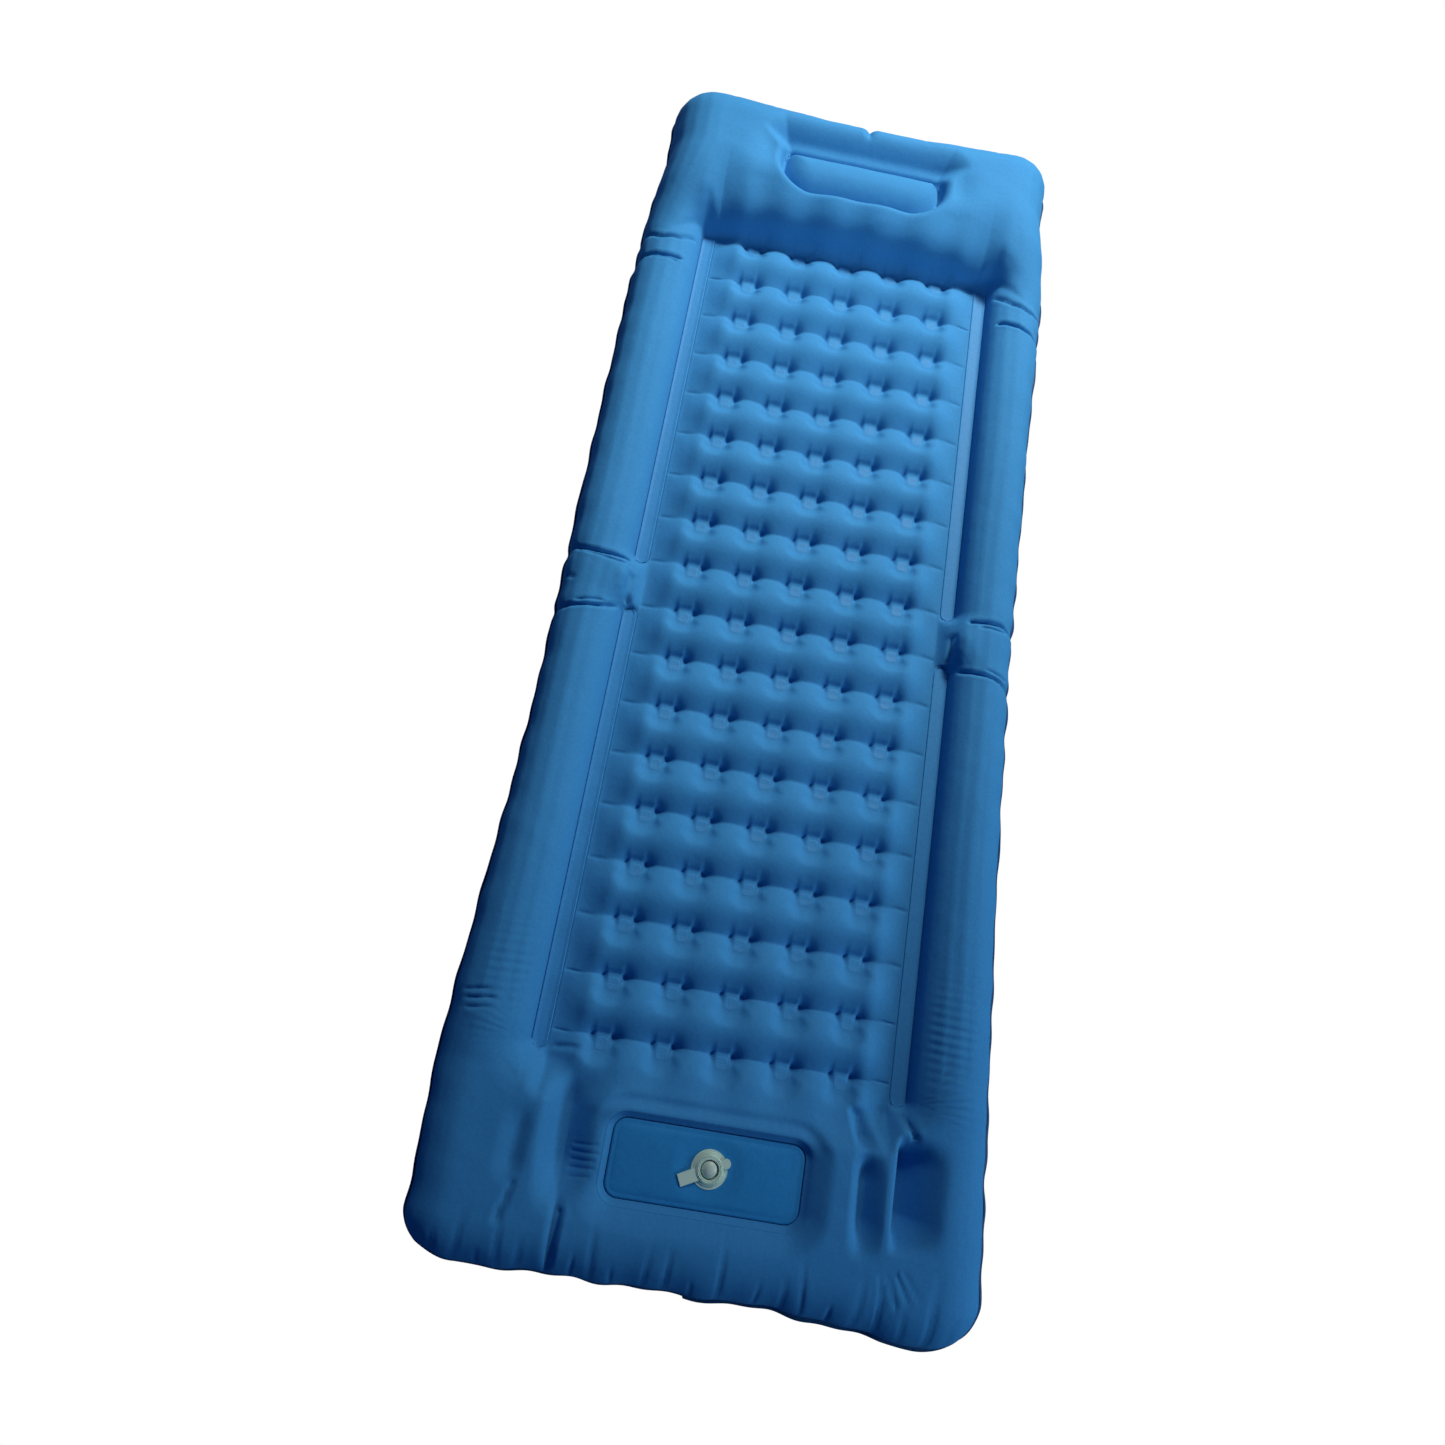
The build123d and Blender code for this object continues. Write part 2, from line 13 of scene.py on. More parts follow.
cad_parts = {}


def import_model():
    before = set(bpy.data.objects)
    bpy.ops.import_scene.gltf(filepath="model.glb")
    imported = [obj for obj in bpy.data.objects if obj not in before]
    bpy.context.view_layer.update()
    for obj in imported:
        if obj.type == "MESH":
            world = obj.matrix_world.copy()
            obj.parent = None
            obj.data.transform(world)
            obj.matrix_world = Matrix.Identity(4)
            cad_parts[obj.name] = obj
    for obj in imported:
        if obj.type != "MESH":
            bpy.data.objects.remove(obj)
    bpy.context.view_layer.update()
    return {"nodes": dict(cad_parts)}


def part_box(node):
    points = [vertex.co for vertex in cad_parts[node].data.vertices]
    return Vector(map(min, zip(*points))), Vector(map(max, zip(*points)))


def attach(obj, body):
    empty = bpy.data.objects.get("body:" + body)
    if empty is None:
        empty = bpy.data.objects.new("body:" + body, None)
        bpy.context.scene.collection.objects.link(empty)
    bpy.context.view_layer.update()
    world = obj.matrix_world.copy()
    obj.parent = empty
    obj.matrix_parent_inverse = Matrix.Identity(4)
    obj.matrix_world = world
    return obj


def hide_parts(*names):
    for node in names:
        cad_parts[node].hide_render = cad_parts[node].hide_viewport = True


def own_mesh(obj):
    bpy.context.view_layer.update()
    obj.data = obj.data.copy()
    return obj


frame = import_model()

# ---------------- places, from the frame
SHEET_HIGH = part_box("top_sheet")[1]
SEAM_LOW, SEAM_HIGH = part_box("perimeter_seam")
BARS_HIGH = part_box("side_weld_bars")[1]
DOTS_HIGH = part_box("weld_dots")[1]
TUBE_LOW, TUBE_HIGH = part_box("pillow_weld_line")
PANEL_LOW, PANEL_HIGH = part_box("pump_panel")
FOAM_LOW, FOAM_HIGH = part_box("pump_foam")
LINER_LOW, LINER_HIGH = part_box("pump_liner")
VALVE_LOW, VALVE_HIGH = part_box("intake_button")
CAP_THICK = 0.003
CAP_LOW_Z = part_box("intake_cap")[1].z - CAP_THICK     # underside of the cap's ring
DRAIN_LOW, DRAIN_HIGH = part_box("dump_seal")

FOOT_SPREAD = 0.019
HALF_W = SHEET_HIGH.x - FOOT_SPREAD
HALF_L = SHEET_HIGH.y
SEAM_Z = (SEAM_LOW.z + SEAM_HIGH.z) / 2
FLANGE = SEAM_HIGH.y - HALF_L
BAR_OUT = BARS_HIGH.x + 0.0005
BAR_WIDTH = 0.023
BAR_IN = BAR_OUT - BAR_WIDTH
BAR_MID = (BAR_OUT + BAR_IN) / 2
BAR_END = BARS_HIGH.y
BAR_GAP = 0.038
DOT_R = 0.0085
LAST_ROW_Y = DOTS_HIGH.y - DOT_R
LAST_COLUMN_X = DOTS_HIGH.x - DOT_R
DOT_ROWS = 18
DOT_COLUMNS = 5
PITCH_X = 2 * LAST_COLUMN_X / (DOT_COLUMNS - 1)
PITCH_Y = 2 * LAST_ROW_Y / (DOT_ROWS - 1)
PANEL_MID = (PANEL_LOW + PANEL_HIGH) / 2
PANEL_HALF_X = (PANEL_HIGH.x - PANEL_LOW.x) / 2
PANEL_HALF_Y = (PANEL_HIGH.y - PANEL_LOW.y) / 2
PANEL_CORNER = 0.018
VALVE_MID = (VALVE_LOW + VALVE_HIGH) / 2
DRAIN_MID = (DRAIN_LOW + DRAIN_HIGH) / 2

# heights above the seam
RAIL_RISE = 0.0545
FIELD_CREST = 0.0325
FIELD_SADDLE = 0.018
DOT_FLOOR = 0.0146
BAND_RISE = 0.011
PILLOW_RISE = SHEET_HIGH.z - SEAM_Z
TUBE_RISE = 0.079
TUBE_FLOOR_FRONT = 0.06
TUBE_FLOOR_BACK = 0.042
FOOT_RISE = 0.049
PANEL_EDGE_RISE = PANEL_HIGH.z - SEAM_Z - 0.0012
SKIN = 0.0006             # from the seam's middle to each sheet's middle

# depths below the seam
UNDER_DROP = 0.066        # of the rails and both ends, before they flatten on the ground
UNDER_FIELD_EXTRA = 0.008
UNDER_WELD = 0.0024       # the sheets' welds meet this far above the lowest top weld
GROUND_GAP = 0.0014
DRAIN_DROP = SEAM_Z - 0.0186

# in plan
CREASE_SHIFT = 0.0085     # the crease of each row runs along the head edges of its dots
TAB_HALF = 0.0102         # the flat round a weld dot is a rounded square
TAB_CORNER = 0.006
HEAD_WALL = 0.085         # from each end seam to the top of its wall
FOOT_WALL = 0.06
DRAIN_HOLE_R = 0.012
PANEL_HOLE_R = 0.0165     # round the intake valve
FOAM_HOLE_R = 0.019

# distance from the middle line to the inflated edge, by y
LEFT_EDGE = (
    (-0.95, 0.363), (-0.83, 0.362), (-0.73, 0.369), (-0.6, 0.366), (-0.48, 0.361), (-0.36, 0.356),
    (-0.22, 0.352), (-0.09, 0.353), (0.1, 0.355), (0.38, 0.356), (0.58, 0.357), (0.7, 0.352),
    (0.83, 0.34), (0.95, 0.352),
)
RIGHT_EDGE = (
    (-0.95, 0.372), (-0.87, 0.376), (-0.77, 0.371), (-0.57, 0.363), (-0.38, 0.355), (-0.17, 0.35),
    (0.0, 0.347), (0.42, 0.348), (0.62, 0.353), (0.7, 0.35), (0.8, 0.336), (0.86, 0.334), (0.95, 0.352),
)


# ---------------- small maths
def smooth(low, high, value):
    share = np.clip((value - low) / (high - low), 0.0, 1.0)
    return share * share * (3.0 - 2.0 * share)


def mix(first, second, share):
    return first + (second - first) * share


def arch(distance, width):
    """0 on a weld, 1 beyond width, rising as a quarter ellipse like a taut inflated wall."""
    share = np.clip(distance / width, 0.0, 1.0)
    return np.sqrt(np.maximum(1.0 - (1.0 - share) ** 2, 0.0))


FACETS = np.array([0.0, 0.03, 0.12, 0.3, 0.52, 0.78, 1.0])


def faceted_arch(distance, width):
    """The same quarter ellipse with faint flats along it, where the cloth is pulled lengthwise."""
    share = np.clip(distance / width, 0.0, 1.0)
    flats = np.interp(share, FACETS, arch(FACETS, 1.0))
    return mix(arch(distance, width), flats, 0.75)


def bump(distance, width):
    return np.exp(-((distance / width) ** 2))


def rounded_box_distance(x, y, half_x, half_y, corner):
    """Signed distance to a rounded rectangle about the origin, negative inside."""
    over_x = np.abs(x) - (half_x - corner)
    over_y = np.abs(y) - (half_y - corner)
    outside = np.hypot(np.maximum(over_x, 0.0), np.maximum(over_y, 0.0))
    return outside + np.minimum(np.maximum(over_x, over_y), 0.0) - corner


def segment_distance(x, y, start, end):
    along = np.array(end) - np.array(start)
    share = ((x - start[0]) * along[0] + (y - start[1]) * along[1]) / (along @ along)
    share = np.clip(share, 0.0, 1.0)
    return np.hypot(x - start[0] - share * along[0], y - start[1] - share * along[1])


def path_distance(x, y, points):
    pieces = [segment_distance(x, y, a, b) for a, b in zip(points[:-1], points[1:])]
    return np.minimum.reduce(pieces)


# ---------------- outline
def softened(y, table):
    """Reads a table of points by y, rounded off over a few centimetres."""
    ys, values = zip(*table)
    return sum(np.interp(y + shift, ys, values) for shift in (-0.04, -0.02, 0.0, 0.02, 0.04)) / 5


def half_width(x, y):
    ripple = 0.0007 * np.sin(y * 61.0) + 0.0005 * np.sin(y * 113.0 + 1.0)
    tied = 0.003 * (bump(y - 0.032, 0.01) + bump(y + 0.064, 0.01))
    tied = tied + 0.003 * (bump(y - 0.625, 0.012) + bump(y - 0.577, 0.012))
    return np.where(x < 0, softened(y, LEFT_EDGE), softened(y, RIGHT_EDGE)) + ripple - tied


def half_length(x, y):
    """Both ends are drawn in at the middle and stand out at the corners."""
    ripple = 0.0011 * np.sin(x * 47.0 + 0.6) + 0.0007 * np.sin(x * 101.0)
    head = 0.937 + 0.012 * smooth(0.06, 0.3, np.abs(x)) - 0.003 * bump(x, 0.01)
    foot = 0.928 + np.where(x < 0, 0.002, 0.018) * smooth(0.1, 0.32, np.abs(x))
    return np.where(y > 0, head, foot + ripple) + 0.4 * ripple


CORNER_R = 0.056
STRETCH_Y = 0.8          # the ends are stretched beyond this


def outline_map(u, v):
    """Moves the square grid's points onto the pad's outline: rounded corners, then the drawn-in edges."""
    p = np.clip((np.abs(u) - (HALF_W - CORNER_R)) / CORNER_R, 0.0, 1.0)
    q = np.clip((np.abs(v) - (HALF_L - CORNER_R)) / CORNER_R, 0.0, 1.0)
    x = np.abs(u) + CORNER_R * p * (np.sqrt(1.0 - q * q / 2.0) - 1.0)
    y = np.abs(v) + CORNER_R * q * (np.sqrt(1.0 - p * p / 2.0) - 1.0)
    stretch_x = (half_width(u, v) - BAR_OUT) / (HALF_W - BAR_OUT)
    stretch_y = (half_length(u, v) - STRETCH_Y) / (HALF_L - STRETCH_Y)
    x = np.where(x > BAR_OUT, BAR_OUT + (x - BAR_OUT) * stretch_x, x)
    y = np.where(y > STRETCH_Y, STRETCH_Y + (y - STRETCH_Y) * stretch_y, y)
    edge_x = (HALF_W - np.abs(u)) * stretch_x
    edge_y = (HALF_L - np.abs(v)) * stretch_y
    return np.copysign(x, u), np.copysign(y, v), edge_x, edge_y


# ---------------- grid over the sheet
def eased(width, steps):
    """Offsets from 0 to width, packed close together near 0 where an inflated wall is steep."""
    return width * (1.0 - np.cos(np.linspace(0.0, math.pi / 2, steps + 1)))


def halved(lines, bands):
    """Adds a line midway between every two neighbours that lie inside one of the bands."""
    middles = (lines[1:] + lines[:-1]) / 2
    extra = [middles[(middles > low) & (middles < high)] for low, high in bands]
    return np.unique(np.concatenate([lines, *extra]))


DIMPLE_REACH = 0.021      # the grid is finer this near to a dot


def pitch_steps(pitch, step, fine):
    """Positions from one dot to the next: fine spacing near both dots, coarser between."""
    close = np.linspace(0.0, DIMPLE_REACH, round(DIMPLE_REACH / (step * fine)) + 1)
    far = pitch - DIMPLE_REACH
    middle = np.linspace(DIMPLE_REACH, far, max(round((far - DIMPLE_REACH) / step), 2) + 1)
    return np.concatenate([close[:-1], middle, pitch - close[-2:0:-1]])


def grid_x(step):
    """Column positions across the sheet, with a line through every dot column."""
    cell = pitch_steps(PITCH_X, step, 0.45)
    core = np.concatenate([cell, PITCH_X + cell, [2 * PITCH_X]])
    near = LAST_COLUMN_X + cell
    near = near[near < LAST_COLUMN_X + DIMPLE_REACH + 0.001]
    wall = BAR_IN - eased(BAR_IN - near[-1], round(0.055 / step))[::-1]
    bar = np.linspace(BAR_IN, BAR_OUT, 6)
    rail_half = (HALF_W - BAR_OUT) / 2
    rail_steps = round(0.062 / step)
    rail_in = BAR_OUT + eased(rail_half, rail_steps)
    rail_out = HALF_W - eased(rail_half, rail_steps)[::-1]
    half = np.concatenate([core[:-1], near[:-1], wall, bar[1:], rail_in[1:], rail_out[1:]])
    half = np.unique(np.round(half, 6))
    return np.concatenate([-half[:0:-1], half])


# spans in y with small folds, where rows are added
FINE_BANDS = (
    (-0.822, -0.762), (-0.655, -0.5), (-0.078, -0.044), (0.014, 0.042), (0.566, 0.59), (0.604, 0.642),
)


def grid_y(step):
    """Row positions along the sheet, with a line through every dot row."""
    cell = pitch_steps(PITCH_Y, step, 0.5)
    rows = [-LAST_ROW_Y + row * PITCH_Y + cell for row in range(DOT_ROWS - 1)]
    field = np.concatenate([*rows, [LAST_ROW_Y]])
    head_top = HALF_L - HEAD_WALL
    foot_top = HALF_L - FOOT_WALL
    head = np.linspace(LAST_ROW_Y, head_top, round((head_top - LAST_ROW_Y) / (0.8 * step)) + 1)
    foot = np.linspace(-foot_top, -LAST_ROW_Y, round((foot_top - LAST_ROW_Y) / (0.75 * step)) + 1)
    head_end = HALF_L - eased(HEAD_WALL, round(0.1 / step))[::-1]
    foot_end = -HALF_L + eased(FOOT_WALL, round(0.08 / step))
    lines = np.concatenate([foot_end[:-1], foot, field[1:], head[1:], head_end[1:]])
    return halved(lines, FINE_BANDS)


# ---------------- dimpled field
def nearest_dot(x, y):
    """Offset from the nearest weld dot, and that dot's row number."""
    column = np.clip(np.round(x / PITCH_X), -(DOT_COLUMNS - 1) / 2, (DOT_COLUMNS - 1) / 2)
    row = np.clip(np.round(y / PITCH_Y - 0.5) + 0.5, -(DOT_ROWS - 1) / 2, (DOT_ROWS - 1) / 2)
    return x - column * PITCH_X, y - row * PITCH_Y


def tab_distance(dx, dy):
    return rounded_box_distance(dx, dy, TAB_HALF, TAB_HALF, TAB_CORNER)


def dot_funnel(x, y):
    """0 on the flat of a weld dot, 1 on the cloth around it: longer towards the foot."""
    dx, dy = nearest_dot(x, y)
    width = mix(0.0105, 0.02, smooth(-0.002, 0.015, -dy))
    return smooth(0.0, 1.0, np.maximum(tab_distance(dx, dy), 0.0) / width)


def dot_flat(x, y):
    """Height of a dot's flat: it leans, its foot side a little higher, so it catches the light."""
    dx, dy = nearest_dot(x, y)
    return DOT_FLOOR - np.where(dy > 0, 0.1, 0.22) * np.clip(dy, -0.016, 0.014)


def dot_pits(x, y):
    """A pit on each side of a dot, steep against it and gentle away from it; the right one is deeper."""
    dx, dy = nearest_dot(x, y)
    tall = bump(dy - 0.008, np.where(dy < 0.008, 0.0075, 0.012))
    right = bump(dx - 0.014, np.where(dx < 0.014, 0.003, 0.009))
    left = bump(dx + 0.014, np.where(dx > -0.014, 0.003, 0.0065))
    return (0.0066 * right + 0.0048 * left) * tall


def field_rise(x, y):
    """Cross ridges: creased along every row of dots, dipped along every column, flat towards the bars."""
    margin = smooth(0.176, 0.206, np.abs(x))
    column = 0.5 + 0.5 * np.cos(2.0 * math.pi * x / PITCH_X)
    crease = CREASE_SHIFT + 0.002 * (1.0 - column) * (1.0 - margin)
    share = np.mod((y - crease) / PITCH_Y + 0.5, 1.0)
    ridge = mix(4.0 * share * (1.0 - share), np.sin(math.pi * share) ** 2, 0.3)
    crest = FIELD_CREST - mix(0.0036 * column, 0.0058, margin)
    saddle = FIELD_SADDLE - mix(0.0066 * column, 0.0012, margin)
    level = mix(saddle, crest, ridge)
    return mix(level, BAND_RISE + 0.0014, smooth(0.186, BAR_IN, np.abs(x)))


def row_creases(x, y):
    """Short folds that run from the weld bars into the field at every row of dots."""
    row = np.mod((y - CREASE_SHIFT) / PITCH_Y + 0.5, 1.0) * PITCH_Y
    lean = np.where(x < 0, 0.05, -0.1) * (BAR_IN - np.abs(x))
    off = np.minimum(np.abs(row + lean), np.abs(row + lean - PITCH_Y))
    along = smooth(0.2, 0.214, np.abs(x)) * smooth(BAR_IN, BAR_IN - 0.004, np.abs(x))
    return 0.0016 * along * (bump(off, 0.0017) + 0.35 * bump(off, 0.006))


# ---------------- rails, pillow and foot
def bar_distance(x, y):
    """Distance to the nearest of the four weld bars, two a side with the cross channel between them."""
    half_x = BAR_WIDTH / 2
    half_y = (BAR_END - BAR_GAP) / 2
    return rounded_box_distance(np.abs(x) - BAR_MID, np.abs(y) - BAR_GAP - half_y, half_x, half_y, half_x)


def pillow_share(x, y):
    """0 on the field, 1 on top of the pillow. The wall is steep in the middle, gentle over the rails."""
    side = smooth(0.245, 0.32, np.abs(x))
    groove = (0.5 + 0.5 * np.cos(2.0 * math.pi * x / PITCH_X)) * smooth(0.225, 0.185, np.abs(x))
    start = mix(LAST_ROW_Y + 0.021 + 0.004 * groove, 0.628, side)
    swell = np.minimum((np.abs(x) / 0.23) ** 2, 1.0)
    end = mix(0.738 + 0.056 * swell + 0.01 * groove, 0.768, side)
    share = np.clip((y - start) / (end - start), 0.0, 1.0)
    steep = np.sqrt(1.0 - (1.0 - share) ** 2)
    gentle = share * share * (3.0 - 2.0 * share)
    return mix(mix(steep, gentle, 0.12), gentle, side)


def foot_share(x, y):
    side = smooth(0.225, 0.275, np.abs(x))
    start = mix(-LAST_ROW_Y - 0.024, -0.64, side)
    share = np.clip((start - y) / 0.054, 0.0, 1.0)
    return mix(smooth(0.0, 1.0, share), share, side)


def tube_distance(x, y):
    """Signed distance to the weld round the pillow's inner tube: a shallow bowl under a straight line."""
    middle = (TUBE_LOW.y + TUBE_HIGH.y) / 2 + 0.012
    bowl = rounded_box_distance(x, y - middle, 0.139, 0.058, 0.056)
    top = y - (TUBE_HIGH.y - 0.0025)
    return np.maximum(bowl, top)


def pillow_tube(x, y, rise):
    """The pillow's inner tube: a round section sunk in a narrow groove, with a wider slope behind it."""
    tube = tube_distance(x, y)
    behind = smooth(-0.01, 0.03, y - TUBE_HIGH.y + 0.012)
    width = mix(0.018, 0.058, behind)
    floor_rise = mix(TUBE_FLOOR_FRONT, TUBE_FLOOR_BACK, behind)
    out = np.maximum(tube, 0.0)
    climb = mix(arch(out, width), smooth(0.0, width, out), 0.5 * behind)
    outside = mix(floor_rise, rise, climb)
    slope = np.clip(1.0 + tube / 0.045, 0.0, 1.0)
    inside = mix(floor_rise, TUBE_RISE + 0.008, 1.0 - slope ** 2)
    sunk = np.where(tube > 0.0, outside, inside)
    ends = 0.008 * bump(np.hypot(np.abs(x) - 0.164, (y - 0.806) / 1.5), 0.024)
    return sunk - ends


FOOT_LINES = (
    # points along a weld or fold, wall width left and right, share of the height left at its bottom, run-out
    (((-0.188, -0.666), (-0.186, -0.76), (-0.178, -0.856)), 0.034, 0.06, 0.24, 0.07),
    (((-0.177, -0.825), (-0.175, -0.925)), 0.008, 0.012, 0.86, 0.03),
    (((-0.24, -0.732), (-0.244, -0.832)), 0.026, 0.02, 0.86, 0.04),
    (((0.181, -0.676), (0.197, -0.722)), 0.012, 0.02, 0.6, 0.016),
    (((0.2, -0.716), (0.205, -0.85)), 0.018, 0.03, 0.52, 0.05),
    (((0.25, -0.696), (0.25, -0.836)), 0.012, 0.062, 0.08, 0.044),
)


def foot_folds(x, y):
    share = 1.0
    for points, left_wall, right_wall, floor, run_out in FOOT_LINES:
        line_x = np.interp(-y, [-point[1] for point in points], [point[0] for point in points])
        width = mix(left_wall, right_wall, smooth(-0.01, 0.01, x - line_x))
        out = np.clip(path_distance(x, y, points) / width, 0.0, 1.0)
        wall = mix(1.0 - (1.0 - out) ** 1.7, smooth(0.0, 1.0, out), 0.6)
        ends = smooth(0.0, run_out, np.minimum(points[0][1] + 0.004 - y, y - points[-1][1] + 0.004))
        share = share * mix(mix(1.0, floor, ends), 1.0, wall)
    return share


def panel_distance(x, y):
    return rounded_box_distance(x - PANEL_MID.x, y - PANEL_MID.y, PANEL_HALF_X, PANEL_HALF_Y, PANEL_CORNER)


def around_panel(x, y, rise):
    """The sheet rolls down to the pump panel's edge on every side."""
    panel = panel_distance(x, y)
    rise = mix(rise, np.minimum(rise, PANEL_EDGE_RISE), smooth(0.01, -0.001, panel))
    out = np.maximum(panel, 0.0)
    rise = mix(PANEL_EDGE_RISE, rise, mix(arch(out, 0.034), smooth(0.0, 0.04, out), 0.65))
    welt = 0.0034 * bump(out - 0.0085, 0.0055) - 0.004 * bump(out - 0.022, 0.007)
    return rise + welt * smooth(0.03, 0.07, y - PANEL_MID.y)


# ---------------- creases and puckers
CREASES = (
    # points along the fold, depth, half width
    (((-0.346, 0.036), (-0.33, 0.03), (-0.3, 0.0262), (-0.258, 0.0275)), 0.0048, 0.002),
    (((-0.318, 0.0235), (-0.28, 0.018), (-0.262, 0.018)), 0.0026, 0.0016),
    (((-0.346, -0.066), (-0.311, -0.061), (-0.282, -0.056), (-0.256, -0.046)), 0.0052, 0.002),
    (((-0.318, -0.0545), (-0.285, -0.048)), 0.0024, 0.0016),
    (((-0.349, -0.01), (-0.332, -0.018)), 0.003, 0.0018),
    (((-0.249, 0.004), (-0.251, -0.02), (-0.247, -0.046)), 0.0075, 0.0022),
    (((0.343, 0.022), (0.312, 0.03), (0.27, 0.0285)), 0.0046, 0.002),
    (((0.322, 0.0205), (0.285, 0.0215)), 0.0024, 0.0016),
    (((0.345, -0.07), (0.312, -0.056), (0.272, -0.052), (0.256, -0.05)), 0.005, 0.002),
    (((0.33, -0.053), (0.3, -0.046)), 0.0024, 0.0016),
    (((0.2475, 0.004), (0.2485, -0.018), (0.246, -0.042)), 0.007, 0.0022),
    (((-0.35, 0.629), (-0.318, 0.612), (-0.285, 0.618), (-0.256, 0.638)), 0.0046, 0.002),
    (((-0.349, 0.58), (-0.303, 0.5755), (-0.279, 0.579)), 0.0046, 0.002),
    (((-0.325, 0.571), (-0.285, 0.57)), 0.002, 0.0015),
    (((0.349, 0.613), (0.318, 0.611), (0.285, 0.622), (0.256, 0.646)), 0.0046, 0.002),
    (((0.347, 0.566), (0.303, 0.5745), (0.272, 0.583)), 0.0046, 0.002),
    (((0.0, 0.88), (0.001, 0.936)), 0.005, 0.0035),
    (((-0.231, -0.667), (-0.212, -0.664), (-0.19, -0.662)), 0.003, 0.002),
    (((0.246, -0.676), (0.262, -0.7)), 0.005, 0.0026),
    (((-0.345, -0.612), (-0.318, -0.606)), 0.0022, 0.0015),
    (((-0.34, -0.622), (-0.31, -0.616)), 0.0026, 0.0015),
    (((-0.336, -0.633), (-0.312, -0.628)), 0.002, 0.0015),
    (((-0.17, -0.775), (-0.142, -0.77)), 0.0008, 0.0014),
    (((-0.172, -0.784), (-0.14, -0.78)), 0.001, 0.0014),
    (((-0.17, -0.794), (-0.143, -0.789)), 0.0009, 0.0014),
    (((-0.171, -0.803), (-0.141, -0.798)), 0.001, 0.0014),
    (((-0.169, -0.813), (-0.146, -0.808)), 0.0008, 0.0014),
    (((0.232, -0.864), (0.24, -0.896)), 0.0012, 0.0016),
    (((0.242, -0.86), (0.256, -0.893)), 0.0014, 0.0016),
    (((0.252, -0.857), (0.271, -0.888)), 0.0014, 0.0016),
    (((0.262, -0.855), (0.284, -0.882)), 0.0011, 0.0016),
    (((-0.236, -0.826), (-0.246, -0.866)), 0.0026, 0.0026),
    (((-0.178, -0.93), (-0.172, -0.85)), 0.004, 0.0026),
)


def creases(x, y):
    """Depth of every named fold: a sharp line with a low lip on each side."""
    depth = 0.0
    for points, deep, half in CREASES:
        off = path_distance(x, y, points)
        line = bump(off, half) + 0.4 * bump(off, 3.2 * half)
        lip = 0.16 * bump(off - 3.4 * half, 1.6 * half)
        depth = depth + deep * (line - lip)
    return depth


PUCKERS = (
    -0.318, -0.292, -0.262, -0.236, -0.214, -0.148, -0.121, -0.096, -0.058, -0.031, 0.004,
    0.037, 0.082, 0.118, 0.143, 0.176, 0.208, 0.237, 0.268, 0.301, 0.327,
)


def edge_puckers(x, y):
    """Gathers that run in from the end seams."""
    depth = 0.0
    for number, place in enumerate(PUCKERS):
        reach = 0.04 + 0.02 * math.sin(2.4 * number)
        lean = 0.1 * math.sin(1.7 * number)
        foot_off = x - place - lean * (y + 0.93)
        foot = bump(foot_off, 0.003) * smooth(-0.93 + 1.6 * reach, -0.93 + 0.4 * reach, y)
        head_off = x + 0.8 * place - lean * (y - 0.93)
        head = bump(head_off, 0.0036) * smooth(0.935 - 0.9 * reach, 0.935 - 0.2 * reach, y)
        depth = depth + (0.003 + 0.0012 * math.sin(3.1 * number)) * foot + 0.0012 * head
    return depth


def bar_end_ripples(x, y):
    """Fine ripples that fan out over each rail from the foot end of its weld bar."""
    out = np.abs(x) - BAR_MID
    up = y + BAR_END
    turn = np.arctan2(up, np.maximum(out, 1e-4))
    reach = np.hypot(out, up)
    fan = np.sin(turn * 46.0 + 6.0 * reach / 0.05)
    fan_window = smooth(0.018, 0.034, out) * smooth(0.11, 0.07, reach) * smooth(-0.02, 0.006, up)
    comb = np.sin(y * 2.0 * math.pi / 0.0118 + 18.0 * out)
    comb_window = smooth(0.02, 0.036, out) * bump(y + 0.575, 0.06) * smooth(0.1, 0.07, out)
    side = np.where(x > 0, 1.0, 0.35)
    return side * (0.00075 * fan * fan_window + 0.00065 * comb * comb_window)


def cloth_drift(x, y):
    """Slow unevenness of a hand-laid cloth."""
    wide = np.sin(x * 23.0 + 2.0 * np.sin(y * 9.0)) * np.sin(y * 17.0 + 1.3)
    fine = np.sin(x * 71.0 + 3.0 * np.sin(y * 31.0)) * np.sin(y * 67.0 + 0.7)
    return 0.0006 * wide + 0.00022 * fine


def rail_streaks(x, y):
    """Low ridges along each rail, where the cloth is pulled lengthwise."""
    out = np.abs(x) - BAR_OUT
    window = smooth(0.012, 0.03, out) * smooth(0.64, 0.6, np.abs(y))
    drift = 0.9 * np.sin(5.0 * y + np.where(x < 0, 0.0, 2.0)) + 0.5 * np.sin(13.0 * y)
    turns = out * 2.0 * math.pi
    return window * (0.0005 * np.sin(turns / 0.021 + drift) + 0.00022 * np.sin(turns / 0.009 - drift))


# ---------------- shape of the sheets
def rail_places(x, y):
    """Half the rail's width, and how far a place is onto the rail and over the weld bar, from 0 to 1."""
    over_rail = smooth(BAR_IN - 0.004, BAR_OUT + 0.012, np.abs(x))
    return (half_width(x, y) - BAR_OUT) / 2, over_rail, smooth(BAR_IN, BAR_OUT, np.abs(x))


